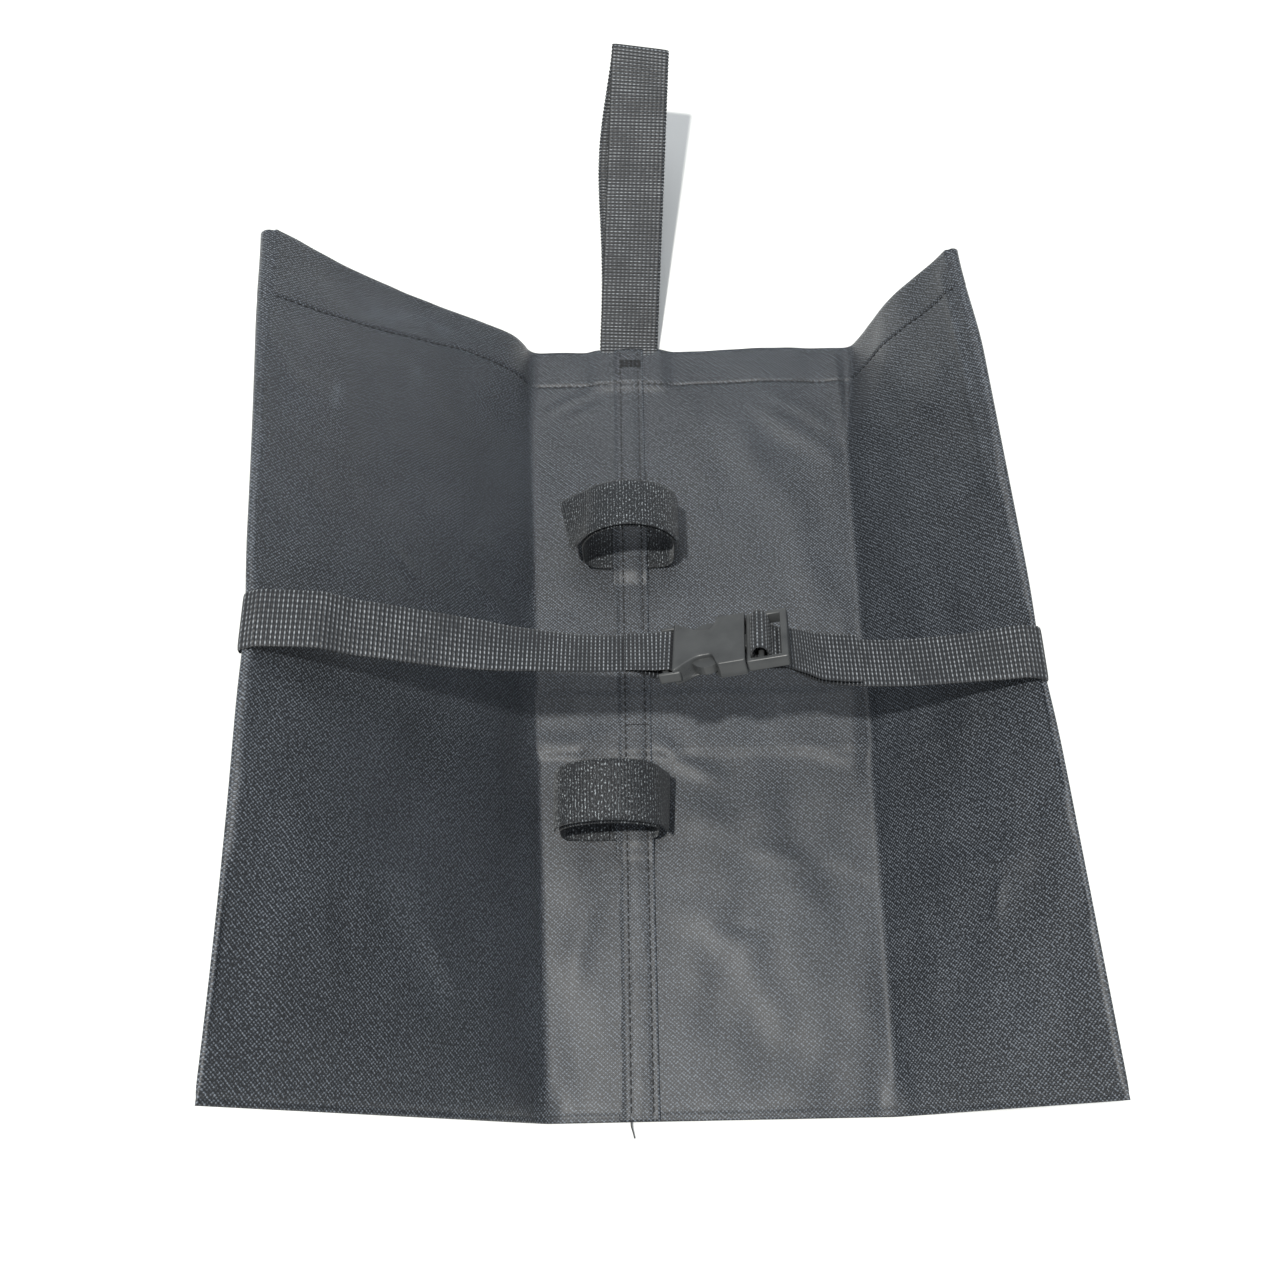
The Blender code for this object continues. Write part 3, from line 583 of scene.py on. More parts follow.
def small_creases(seed, count, low, high):
    """Short creases with a fixed seed, low and high being the corners of their part of the cloth in mm."""
    chance = random.Random(seed)
    found = []
    for _ in range(count):
        u, v = chance.uniform(low[0], high[0]), chance.uniform(low[1], high[1])
        turn, half = chance.uniform(-1.3, 1.3), chance.uniform(14, 42) / 2
        points = [(u, v)]
        for heading in (turn, turn + chance.uniform(-0.4, 0.4)):
            u, v = u + half * math.cos(heading), v + half * math.sin(heading)
            points.append((u, v))
        found.append(Crease(points, chance.uniform(2.6, 7.0), chance.uniform(-0.8, 1.4)))
    return found


class Chamber:
    """One chamber's cloth.

    fold is the fold's x at the bottom and at the mouth. slant is the wing's angle in degrees, as three
    terms along the bag. At the mouth, shift moves the fold to +X and steeper adds to the angle. The last
    argument lists lighter places, scuffed and dusty on the left and painted highlights on the right:
    distance from the seam, y, width and length in mm, and how much lighter.
    """

    def __init__(self, name, side, fold, slant, mouth_gap, shift, steeper, creases, lightened_places):
        self.name, self.side, self.fold, self.slant, self.mouth_gap = name, side, fold, slant, mouth_gap
        self.shift, self.steeper, self.creases, self.lightened_places = shift, steeper, creases, lightened_places

    def hem_line(self, d):
        """The hem's row of stitches, which wanders down from the mouth on the left wing."""
        strays = 0.2 if self.side < 0 else 0.02
        return END - HEM - strays * max(0.0, d - 48 * MM)

    def near_mouth(self, y):
        return smooth((y - 135 * MM) / (65 * MM))

    def fold_x(self, y):
        return self.fold[0] + (self.fold[1] - self.fold[0]) * along(y) + self.shift * self.near_mouth(y)

    def angle(self, y):
        t = along(y)
        bend = self.slant[0] + self.slant[1] * t + self.slant[2] * t * t
        return math.radians(bend + self.steeper * self.near_mouth(y))

    def reach(self, y):
        """Fold to outer edge, a little less at the mouth and where the belt draws the edge in."""
        drawn_in = 1.4 * MM * bell(y - BELT_Y, 24 * MM) + 1.5 * MM * self.near_mouth(y)
        return BAG_WIDTH / 2 - abs(self.fold_x(y)) - drawn_in

    def gap(self, y):
        return 1.0 * MM + (self.mouth_gap - 1.0 * MM) * along(y) ** 2

    def bulge(self, d, y):
        """How far the whole wing stands in from its plane at the open mouth."""
        d = d / MM
        if self.side < 0:
            shape = 6.6 * d / 24 * math.exp(1 - d / 24) - 3.0 * bell(d - 100, 35)
        else:
            shape = 5.0 * bell(d - 45, 22)
        return shape * MM * self.near_mouth(y)

    def sway(self, d, y):
        """Slow waves in the standing cloth, none where the belt holds it."""
        share = smooth(d / (30 * MM)) * smooth((self.reach(y) - d) / (25 * MM))
        free = smooth((abs(y - BELT_Y) - 14 * MM) / (50 * MM))
        return 1.5 * MM * share * free * wander(d * 14 + self.side * 5, y * 12)

    def point(self, d, n, y):
        """d from the fold towards the outer edge, n outwards from the inner face."""
        a = self.angle(y)
        n = n - self.bulge(max(0.0, d), y) - self.sway(max(0.0, d), y)
        x = self.fold_x(y) + self.side * (d * math.cos(a) + n * math.sin(a))
        return Vector((x, y, FOLD_Z + d * math.sin(a) - n * math.cos(a)))

    def front_n(self, y):
        return CLOTH / 2 + 0.35 * MM * pinch(y)

    def back_n(self, share, y):
        open_n = 1.5 * PLY + GAP + (self.gap(y) - GAP) * smooth(share) + (PLY - CLOTH) / 2
        return open_n + (1.25 * MM - open_n) * pinch(y)

    def round_radius(self, y):
        return (self.back_n(1.0, y) - self.front_n(y)) / 2

    def edge_d(self, y):
        return self.reach(y) - CLOTH / 2 - self.round_radius(y)

    def panel_front(self, share, y):
        x = self.fold_x(y) * share
        flat = FOLD_Z - CLOTH / 2 - 0.5 * MM * pinch(y)
        return Vector((x, y, flat + lift(y) + tuck(x, y)))

    def panel_back(self, share, y):
        return Vector((self.fold_x(y) * share, y, CLOTH / 2 + 0.4 * MM * pinch(y) + lift(y)))

    def fold_radius(self, y):
        return (2.0 + (5.0 if self.side < 0 else 2.5) * self.near_mouth(y)) * MM

    def rounded(self, s, y, panel, wing):
        """Follows the panel up to the fold and the wing beyond it, with a rounded corner between."""
        radius = self.fold_radius(y)
        width = abs(self.fold_x(y))
        if s <= -radius:
            return panel((width + s) / width, y)
        if s >= radius:
            return wing(s, y)
        t = (s + radius) / (2 * radius)
        corner = (panel(1.0, y) + wing(0.0, y)) / 2
        before, after = panel((width - radius) / width, y), wing(radius, y)
        return before * (1 - t) ** 2 + corner * (2 * t * (1 - t)) + after * t**2

    def front(self, s, y):
        """The front ply: s is the distance beyond the fold, negative on the panel."""
        return self.rounded(s, y, self.panel_front, lambda d, row: self.point(d, self.front_n(row), row))

    def back(self, s, y):
        def wing(d, row):
            return self.point(d, self.back_n(d / self.edge_d(row), row), row)

        return self.rounded(s, y, self.panel_back, wing)

    def round_edge(self, turn, y):
        radius = self.round_radius(y)
        d = self.edge_d(y) + radius * math.cos(turn)
        return self.point(d, self.front_n(y) + radius + radius * math.sin(turn), y)

    def columns(self):
        """Stations across the cloth: a zone and a place in it, which is a share or metres from the fold."""
        panel = merged(spread(0, 0.9, 44) + spread(0, 0.16, 10), 0.006)
        found = [("panel", share / 0.9) for share in panel]
        found += [("front_fold", off) for off in steps(-CORNER, CORNER, 1.1 * MM)]
        found += [("wing", share) for share in spread(0, 1, 66)]
        found += [("edge", math.radians(turn)) for turn in spread(-75, 75, 9)]
        found += [("back", share) for share in spread(1, 0, 42)]
        found += [("back_fold", off) for off in steps(CORNER, -CORNER, 1.5 * MM)]
        return found + [("under", share) for share in spread(1, 0, 16)]

    def place(self, column, y):
        """The point, its distance over the cloth from the front seam, and 1 on the front, -1 on the back."""
        zone, value = column
        width, edge, round_length = abs(self.fold_x(y)), self.edge_d(y), math.pi * self.round_radius(y)
        if zone == "edge":
            return self.round_edge(value, y), width + edge + round_length * (value / math.pi + 0.5), 0
        s = value
        if zone == "panel":
            s = value * (width - CORNER - 1.1 * MM) - width
        elif zone == "under":
            s = value * (width - PAST_CORNER) - width
        elif zone in ("wing", "back"):
            s = PAST_CORNER + (edge - PAST_CORNER) * value
        if zone in ("panel", "front_fold", "wing"):
            return self.front(s, y), width + s, 1
        return self.back(s, y), width + edge + round_length + edge - s, -1

    def relief(self, run, y, face):
        """How far the cloth stands out of its smooth shape, run metres from the front seam."""
        width = abs(self.fold_x(y))
        on_wing = smooth((run - width) / (10 * MM))
        hem = hem_relief(y, self.hem_line(run - width), (0.45 - 0.2 * on_wing) * MM)
        rise = (hem + bottom_relief(y)) * (1 if face else 0.4)
        if face > 0:
            for crease in self.creases:
                rise += crease(run, y)
            near_seam = bell(run, 13 * MM) * smooth((run - 3 * MM) / (5 * MM))
            rise += 0.4 * MM * near_seam * wander(y * 95, self.side * 2.0, run * 40)
            loose = smooth((run - 12 * MM) / (18 * MM)) * (1 - 0.75 * bell(run - width, 8 * MM))
            rise += 2.0 * MM * loose * (0.2 + wander(run * 20, y * 16, self.side * 3.0))
            rise += 0.75 * MM * loose * wander(run * 62, y * 50, self.side * 7.0)
            rise = max(rise, -0.8 * MM)
            corner = bell(run - width, 9 * MM) * bell(y + END - 4 * MM, 9 * MM)
            rise += 0.9 * MM * corner * math.cos((run - width) / (2.6 * MM))
        elif face < 0:
            rise += 0.12 * MM * wander(run * 40, y * 45, self.side * 11.0)
        return rise

    def scuff_and_highlight_share(self, run, y):
        """0 to 1: a painted highlight on the outer edge, lighter along the mouth, and the chamber's listed
        places.
        """
        # A painted highlight along the rounded outer edge; the mouth's edge is also made lighter.
        edge = bell(run - BAG_WIDTH / 2, 2.2 * MM) * 0.16
        lightened_places = [f * bell(run - u * MM, a * MM) * bell(y - v * MM, b * MM) for u, v, a, b, f in self.lightened_places]
        return min(1.0, edge + 0.2 * bell(y - END, 1.2 * MM) + sum(lightened_places))

    def cloth(self):
        """The whole cloth with its relief, and the hem turned in at the mouth."""
        below_hem = (20 if self.side < 0 else 6) * MM
        rows = steps(-END, END, ROW) + steps(-END, -END + 5 * MM, FINE_ROW)
        rows += steps(END - HEM - below_hem, END - HEM + 3 * MM, FINE_ROW)
        rows = [min(END, y) for y in merged(rows, 0.35 * MM)]
        columns = self.columns()
        base, runs, uvs, scuffs_and_highlights = [], [], [], []
        for y in rows:
            row = [self.place(column, y) for column in columns]
            base.append([tuple(p) for p, _, _ in row])
            runs.append([(run, face) for _, run, face in row])
        base = np.array(base)
        normal = np.cross(np.gradient(base, axis=1), np.gradient(base, axis=0)) * self.side
        normal /= np.linalg.norm(normal, axis=2)[:, :, None]
        points = []
        for i, y in enumerate(rows):
            for j, (run, face) in enumerate(runs[i]):
                points.append(base[i, j] + normal[i, j] * self.relief(run, y, face))
                uvs.append((self.side * run, y))
                scuffs_and_highlights.append(self.scuff_and_highlight_share(run, y))
        turned = [(0.22 * MM, 0.3 * MM), (0.25 * MM, TURNED_IN)]
        turned += [(-off, TURNED_IN) for off in steps(0.0, HEM - 1 * MM, ROW)[1:]]
        for beyond, inwards in turned:
            y = END + min(0.0, beyond)
            source = min(len(rows) - 1, int(np.searchsorted(rows, y)))
            rounded = np.array([0, max(0.0, min(beyond, 0.22 * MM)), 0])
            for j, (run, face) in enumerate(runs[source]):
                rise = self.relief(run, rows[source], face) - inwards
                points.append(base[source, j] + normal[source, j] * rise + rounded)
                uvs.append((self.side * run, 2 * END - y))
                scuffs_and_highlights.append(0.0)
        faces = grid_faces(len(rows) + len(turned), len(columns), flip=self.side < 0)
        obj = add_mesh(f"{self.name}_chamber_cloth", points, faces, "coated_oxford", uvs, scuffs_and_highlights)
        return thicken(obj, CLOTH)


LEFT_CREASES = small_creases(11, 9, (60, -170), (190, 150)) + [
    Crease([(8, -22), (28, -30), (50, -27)], 4.0, 1.2),
    Crease([(10, -90), (24, -110), (30, -150)], 6.0, 1.0),
    Crease([(20, 173), (34, 168), (48, 158)], 3.2, 0.9),
    Crease([(16, 166), (30, 157)], 3.0, 0.6),
    Crease([(22, -30), (36, -60), (40, -92)], 9.0, 0.8),
    Crease([(56, 60), (60, 0), (62, -90)], 7.0, -0.9),
    Crease([(100, -60), (120, -110), (126, -160)], 16.0, 1.1),
]
RIGHT_CREASES = small_creases(23, 16, (14, -180), (180, 150)) + [
    Crease([(8, -26), (20, -38), (38, -47)], 4.0, 1.5),
    Crease([(20, -62), (44, -70), (70, -58)], 9.0, 1.3),
    Crease([(84, -34), (100, -38), (112, -36)], 3.5, 1.1),
    Crease([(24, -110), (48, -128), (60, -160)], 8.0, 1.2),
    Crease([(33.5, 171), (37, 145)], 2.6, 1.3),
    Crease([(50, 158), (70, 118), (86, 84), (92, 52)], 13.0, 2.3),
    Crease([(36, 140), (40, 108), (42, 70)], 8.0, 0.9),
    Crease([(70, 172), (92, 160), (108, 148)], 4.5, 1.2),
    Crease([(62, 166), (88, 148), (106, 130)], 6.0, 1.5),
    Crease([(113, 196), (114, 170), (115, 140)], 3.2, 1.5),
    Crease([(60, -60), (78, -110), (70, -150)], 12.0, 0.9),
    Crease([(104, 40), (106, 0), (104, -50)], 4.0, 0.8),
    Crease([(203, 188), (203.5, 120), (206, 60)], 2.6, 1.2),
    Crease([(196, 66), (184, 62), (172, 60)], 4.0, -1.3),
    Crease([(150, 180), (165, 150), (188, 126)], 9.0, 0.9),
]
LEFT_SPOTS = [
    (173, 112, 3.4, 8, 0.8),
    (128, 150, 1.8, 7, 0.55),
    (150, 178, 22, 9, 0.35),
    (120, 186, 14, 6, 0.3),
]
# Painted highlights: a light line on the crease near the right wing's outer edge, and a band by the right
# fold near the mouth.
RIGHT_PAINTED_HIGHLIGHTS = [(204, 120, 1.8, 60, 0.25), (104, 180, 3, 22, 0.2)]
LEFT = Chamber(
    "left",
    -1,
    fold=(-41 * MM, -55 * MM),
    slant=(52.1, 4.0, -14.3),
    mouth_gap=8.0 * MM,
    shift=0.0,
    steeper=0.0,
    creases=LEFT_CREASES,
    lightened_places=LEFT_SPOTS,
)
RIGHT = Chamber(
    "right",
    1,
    fold=(109 * MM, 117 * MM),
    slant=(44.7, 16.6, 0.0),
    mouth_gap=4.2 * MM,
    shift=6 * MM,
    steeper=3.2,
    creases=RIGHT_CREASES,
    lightened_places=RIGHT_PAINTED_HIGHLIGHTS,
)


def across_fold(chamber, inside, outside):
    """The start and end of a bend across a chamber's fold, square to the fold line."""
    low, high = Vector((chamber.fold[0], -END)), Vector((chamber.fold[1], END))
    square = Vector((high.y - low.y, -(high.x - low.x))).normalized() * chamber.side
    middle = (low + high) / 2
    start, end = middle - square * inside, middle + square * outside
    return (start.x, start.y, FOLD_Z), (end.x, end.y, FOLD_Z)


def bag_cloths():
    for chamber in (LEFT, RIGHT):
        cloth = chamber.cloth()
        start, end = across_fold(chamber, 5 * MM, 5 * MM)
        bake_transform(cloth)
        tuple(start)
        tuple(end)
        nodes = [f"{chamber.name}_centre_front_panel", f"{chamber.name}_chamber_front"]
        nodes += [f"{chamber.name}_chamber_back", f"{chamber.name}_bottom_seam"]
        if chamber is LEFT:
            nodes += ["centre_back_panel", "centre_bottom_seam"]
        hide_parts(*nodes)


# ---- seam, hems and stitches


def flap_top(x, y):
    """The upper face of the seam's flap, which is puffed between its rows of stitches."""
    base = FOLD_Z + lift(y) + tuck(x, y) + ring_cover(y) + hem_relief(y) + bottom_relief(y)
    pulled = sum(bell(x - row, 1.1 * MM) for row in SEAM_ROWS) * 0.28 * MM
    puff = 0.22 * MM * bell(x, 3.0 * MM) * (1 + wander(y * 120, 1.5))
    left_end = smooth((x - FLAP[0]) / (4.6 * MM))
    right_end = smooth((FLAP[1] - x) / (0.5 * MM))
    rise = CLOTH + 0.5 * MM + puff - pulled + 0.12 * MM * wander(y * 160, x * 300, 4.0)
    return base - 0.3 * MM + (rise + 0.3 * MM) * left_end - 0.25 * MM * (1 - right_end)


def seam_flap():
    xs = merged(steps(FLAP[0], FLAP[1], 0.55 * MM) + [FLAP[1] - 0.2 * MM], 0.1 * MM)
    near_hem = steps(END - HEM - 3 * MM, END - HEM + 3 * MM, 0.6 * MM)
    ys = merged(steps(-END, END, 1.5 * MM) + near_hem, 0.3 * MM)
    points = [(x, y, flap_top(x, y) - CLOTH / 2) for y in ys for x in xs]
    uvs = [(x + 0.5, y) for y in ys for x in xs]
    # A painted highlight along the flap's right edge.
    scuffs_and_highlights = [0.3 * bell(x - FLAP[1], 0.8 * MM) for y in ys for x in xs]
    flap = add_mesh("seam_flap_cloth", points, grid_faces(len(ys), len(xs)), "coated_oxford", uvs, scuffs_and_highlights)
    thicken(flap, CLOTH)
    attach(flap, "bag_centre")
    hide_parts("seam_flap")


def seam_stitches():
    """Two rows through the flap. Under the bag the belt's run hides the middle of each."""
    low, high, clear = -END + 3 * MM, END - 2 * MM, 14 * MM
    for name, x in zip(("left", "right"), SEAM_ROWS):

        def above(s, wobble, x=x):
            return (x + wobble, s, flap_top(x, s)), (0, 0, 1)

        def under(s, wobble, x=x):
            return (x + wobble, s, 0.12 * MM + lift(s)), (0, 0, -1)

        made = stitches(f"seam_{name}_stitches", row_of_stitches(above, low, high))
        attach(made, "bag_centre")
        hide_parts(f"seam_stitch_{name}_row")
        runs = row_of_stitches(under, low, BELT_Y - clear) + row_of_stitches(under, BELT_Y + clear, high)
        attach(stitches(f"seam_{name}_stitches_under", runs, 0.26 * MM), "bag_centre")


def hem_place(chamber, face):
    """A point and the way out of the cloth on the hem's line, run metres from the seam."""
    surface = chamber.front if face > 0 else chamber.back

    def place(run, wobble):
        y = chamber.hem_line(run - abs(chamber.fold_x(END - HEM)))
        s = run - abs(chamber.fold_x(y))
        here = surface(s, y + wobble)
        right = surface(s + 0.5 * MM, y) - surface(s - 0.5 * MM, y)
        up = surface(s, y + 0.5 * MM) - surface(s, y - 0.5 * MM)
        out = right.cross(up).normalized() * (chamber.side * face)
        return here + out * (CLOTH / 2 + chamber.relief(run, y, face)), out

    return place


def hem_stitches():
    for chamber in (LEFT, RIGHT):
        width = abs(chamber.fold_x(END - HEM))
        edge = width + chamber.edge_d(END - HEM)
        front, back = hem_place(chamber, 1), hem_place(chamber, -1)
        near = -FLAP[0] if chamber is LEFT else FLAP[1]
        name = chamber.name
        rows = row_of_stitches(front, near + 1 * MM, width - 4 * MM)
        centre = stitches(f"{name}_centre_hem_stitches", rows)
        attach(centre, "bag_centre")
        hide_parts(f"{name}_centre_hem_stitch")
        rows = row_of_stitches(front, width + 4 * MM, edge - 1 * MM)
        rows += row_of_stitches(back, width + 4 * MM, edge - 1 * MM)
        wing = stitches(f"{name}_hem_stitches", rows)
        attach(wing, f"{name}_wing")
        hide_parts(f"{name}_hem_stitch")


def bartack(name, node, low, high):
    """A dense zigzag bar of thread over the flap."""
    lines, raised = [], 0.1 * MM
    y = low
    while y < high + 1e-6:
        for x0 in steps(SEAM_ROWS[0], SEAM_ROWS[1] - 0.4 * MM, 2.6 * MM):
            x1, y1 = x0 + 2.3 * MM, y + 0.2 * MM
            start, end = (x0, y, flap_top(x0, y) + raised), (x1, y1, flap_top(x1, y) + raised)
            lines.append((start, end, (0, 0, 1)))
        y += 0.8 * MM
    made = stitches(name, lines, 0.3 * MM)
    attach(made, "bag_centre")
    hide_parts(node)


def thread_tail():
    """The cut end of the left row's thread, hanging out of the bottom edge."""
    path = [(-5, -199, 2.6), (-4.9, -201.5, 2.2), (-4.2, -204, 1.2), (-3.6, -206.5, 0.9)]
    stations = [(Vector(p) * MM, X_AXIS) for p in path]
    tail = Strap(stations, 0.62 * MM, 0.55 * MM, 0.5 * MM, 0.0, "thread")
    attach(tail.piece("seam_thread_tail"), "bag_centre")


# ---- belt


def buckle_frame():
    turn = Matrix.Rotation(BUCKLE_YAW, 4, "Z")
    turn = turn @ Matrix.Rotation(-BUCKLE_PITCH, 4, "Y")
    turn = turn @ Matrix.Rotation(-BUCKLE_ROLL, 4, "X")
    return Matrix.Translation(BUCKLE_CENTRE) @ turn


BUCKLE = buckle_frame()
BUCKLE_W = BUCKLE.to_3x3() @ Vector((0, 1, 0))
SQUARE = Vector((0, 1, 0))


def in_buckle(u, w, n):
    return BUCKLE @ Vector((u, w, n))


def buckle_station(u, n):
    """A station of the belt in the buckle's frame, in metres."""
    return in_buckle(u, 0, n), BUCKLE_W


def belt_stations(rows):
    """Stations from x and z in mm and the degrees by which the belt's near edge is turned up."""
    found = []
    for x, z, roll in rows:
        turn = math.radians(roll)
        found.append((Vector((x * MM, BELT_Y, z * MM)), Vector((0, math.cos(turn), -math.sin(turn)))))
    return found


def belt_strap(stations):
    return Strap(stations, BELT_WIDTH, BELT_THICK, BELT_RIB, RIB_DEPTH, "webbing")


def outside_of(wing):
    """Stations of the belt from under the bag, up the outside of a wing and round its edge."""
    y = BELT_Y
    clear = CLOTH / 2 + GAP + 0.1 * MM + BELT_THICK / 2
    flat = BELT_THICK / 2
    fold = wing.fold_x(y)
    found = [(Vector((x, y, flat)), SQUARE) for x in spread(30 * MM, fold - wing.side * 4 * MM, 5)]
    edge = wing.edge_d(y)
    for d in [3 * MM, 8 * MM] + spread(20 * MM, edge - 3 * MM, 9):
        found.append((wing.point(d, wing.back_n(d / edge, y) + clear, y), SQUARE))
    radius = wing.round_radius(y) + clear
    centre_n = wing.front_n(y) + wing.round_radius(y)
    for turn in (70, 35, 0, -30):
        a = math.radians(turn)
        place = wing.point(edge + radius * math.cos(a), centre_n + radius * math.sin(a), y)
        found.append((place, SQUARE))
    return found


LEFT_RUN = [
    (-147, 132.0, 0),
    (-138, 131.2, 1),
    (-129, 130.2, 2),
    (-122, 128.4, 1),
    (-117, 124.8, 1),
    (-111, 120.9, 2),
    (-103, 118.0, 3),
    (-92, 112.8, 4),
    (-78, 107.0, 6),
    (-64, 101.6, 10),
    (-51, 97.0, 18),
    (-38, 94.0, 23),
    (-25, 91.0, 27),
    (-12, 89.6, 28),
    (0, 89.2, 28),
]
SEWN_END = [(8.5, 90.9, 27), (3.0, 91.0, 28), (-3.5, 91.3, 28)]
LOAD_RUN = [
    (64.0, 91.6, 23),
    (71.5, 85.4, 18),
    (78.5, 79.2, 14),
    (88, 75.8, 12),
    (99, 73.8, 12),
    (110, 72.6, 13),
    (121, 72.9, 13),
    (133, 74.6, 12),
    (146, 77.2, 10),
    (158, 80.0, 6),
    (168, 82.6, 2),
]


def left_belt():
    """The belt from under the bag, round the left edge, to the socket's bar and back on itself."""
    stations = outside_of(LEFT)
    turn_at = len(stations)
    stations += belt_stations(LEFT_RUN)
    stations.append(buckle_station(SOCKET_BAR_U - 5 * MM, -(BELT_THICK + GAP) / 2))
    for turn in spread(-100, 100, 7):
        a = math.radians(turn)
        u, n = SOCKET_BAR_U + SOCKET_WRAP * math.cos(a), SOCKET_WRAP * math.sin(a) * 0.95
        stations.append(buckle_station(u, n))
    return belt_strap(stations + belt_stations(SEWN_END)), stations[turn_at][0]


def place_near(strap, point):
    """How far along a strap it passes nearest to a point."""
    return strap.places[int(np.argmin(np.linalg.norm(strap.line - np.array(tuple(point)), axis=1)))]


def load_stations():
    """The load side from the ladder's middle bar to the right edge."""
    found = [buckle_station(MIDDLE_BAR_U - 0.6 * MM, LOOP_RISE - LOOP[1] - 1.2 * MM)]
    found.append(buckle_station(MIDDLE_BAR_U + 4 * MM, -PLUG_LOW - BELT_THICK * 2.3))
    return found + belt_stations(LOAD_RUN)


def on_wing(strap, wing):
    """The place along the belt where it meets the part that turns round a wing's edge."""
    return place_near(strap, wing.point(wing.edge_d(BELT_Y) - TURN_ON_WING, TURN_OUTWARDS, BELT_Y))


def blend_turn(turn, wing):
    """Fixes the part round a wing's edge in place; the ends of a bend to the free span are found but not
    used.
    """
    start, end = (wing.round_edge(math.radians(degrees), BELT_Y) for degrees in (60, -60))
    end = end - Vector((wing.side * TURN_FADE, 0, 0))
    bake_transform(turn)


def blend_outside(under, wing):
    start, end = across_fold(wing, 3 * MM, 5 * MM)
    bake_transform(under)
    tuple(start)
    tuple(end)


def belts():
    left, turn_point = left_belt()
    edge_start, edge_end = on_wing(left, LEFT), place_near(left, turn_point) + TURN_PAST_EDGE
    under = left.piece("belt_left_outside", None, edge_start, caps=(True, False))
    blend_outside(under, LEFT)
    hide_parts("belt_left_run", "belt_back_run")
    turn = left.piece("belt_left_turn", edge_start, edge_end, caps=(False, False))
    blend_turn(turn, LEFT)
    front = left.piece("belt_left_webbing", edge_end, caps=(False, True))
    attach(front, "belt_and_socket")
    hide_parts("belt_left_span")

    stations = load_stations()
    turn_at = len(stations)
    stations += outside_of(RIGHT)[::-1]
    right = belt_strap(stations)
    edge_start, edge_end = place_near(right, stations[turn_at][0]) - TURN_PAST_EDGE, on_wing(right, RIGHT)
    load = right.piece("belt_right_webbing", None, edge_start, caps=(True, False))
    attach(load, "belt_load_side")
    anchor = RIGHT.round_edge(0.0, BELT_Y)
    line = (anchor - LEFT.round_edge(0.0, BELT_Y)).normalized()
    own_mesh(load)
    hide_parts("belt_right_span")
    turn = right.piece("belt_right_turn", edge_start, edge_end, caps=(False, False))
    blend_turn(turn, RIGHT)
    under = right.piece("belt_right_outside", edge_end, caps=(False, True))
    blend_outside(under, RIGHT)
    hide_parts("belt_right_run")


def ladder_webbing():
    """The belt round the ladder's middle bar, and its free end on top of the load side."""
    stations = []
    for turn in spread(262, 20, 12):
        a = math.radians(turn)
        u, n = MIDDLE_BAR_U + LOOP[0] * math.cos(a), LOOP_RISE + LOOP[1] * math.sin(a)
        stations.append(buckle_station(u, n))
    stations.append(buckle_station(MIDDLE_BAR_U + 3.9 * MM, -2.4 * MM))
    wrap_count = len(stations)
    stations.append(buckle_station(MIDDLE_BAR_U + 6.5 * MM, -PLUG_LOW - BELT_THICK))
    load = load_stations()[3:10]
    for k, (place, width) in enumerate(load):
        ahead = load[min(k + 1, len(load) - 1)][0] - load[max(k - 1, 0)][0]
        out = Vector((-ahead.z, 0, ahead.x)).normalized()
        share = k / len(load)
        aside = Vector((0, (0.4 + 2.0 * share) * MM, 0))
        stations.append((place + aside + out * (BELT_THICK + 2 * GAP + 0.7 * MM * share), width))
    strap = belt_strap(stations)
    split = place_near(strap, stations[wrap_count][0])
    wrap = strap.piece("ladder_webbing", None, split, caps=(True, False))
    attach(wrap, "plug")
    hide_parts("belt_ladder_wrap")
    tail = strap.piece("belt_free_end_webbing", split, split + BELT_TAIL, caps=(False, True))
    fed = strap.line[int(np.searchsorted(strap.places, split + TAIL_FED))]
    tuple(fed)
    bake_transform(tail)
    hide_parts("belt_tail")


# ---- buckle


def socket_half(u):
    """Half the width of the socket's top plate, which is scooped for the finger and the prong's tab."""
    u = u / MM
    scoop = SCOOP * smooth((u + 25.5) / 14.0) * (1 - smooth((u + 8.3) / 4.0) ** 1.5)
    return SOCKET_HALF - scoop


def socket_section(u):
    """Points round one cross-section of the socket, from the top middle to the bottom middle and back."""
    top, high = socket_half(u), SOCKET_THICK
    full = SOCKET_HALF + 0.3 * MM - 0.6 * (SOCKET_HALF - top)
    steep = smooth((u + 17 * MM) / (4 * MM))
    below = top + (full - top) * (1 - steep) * 0.6
    half = [
        (0.0, high),
        (top * 0.5, high),
        (top - 1.1 * MM, high),
        (top - 0.45 * MM, high - 0.12 * MM),
        (top - 0.1 * MM, high - 0.45 * MM),
        (top, high - 1.0 * MM),
        ((top * 2 + below) / 3, high - 2.6 * MM),
        ((top + below * 2) / 3, SOCKET_LEDGE + 1.6 * MM),
        (below, SOCKET_LEDGE + 0.2 * MM),
        ((below + full) / 2, SOCKET_LEDGE),
        (full - 0.4 * MM, SOCKET_LEDGE - 0.05 * MM),
        (full, SOCKET_LEDGE - 0.4 * MM),
        (full, -high + 0.5 * MM),
        (full - 0.5 * MM, -high),
        (full * 0.5, -high),
    ]
    return half + [(0.0, -high)] + [(-w, n) for w, n in half[:0:-1]]


def cavity_section(u, count):
    """The same number of points round the inside."""
    wide = min(CAVITY[0], socket_half(u) - 1.2 * MM)
    found = []
    for k in range(count):
        turn = math.pi / 2 - 2 * math.pi * k / count
        across, up = math.cos(turn), math.sin(turn)
        size = (abs(across) ** 8 + abs(up) ** 8) ** (-1 / 8)
        found.append((across * size * wide, up * size * CAVITY[1]))
    return found


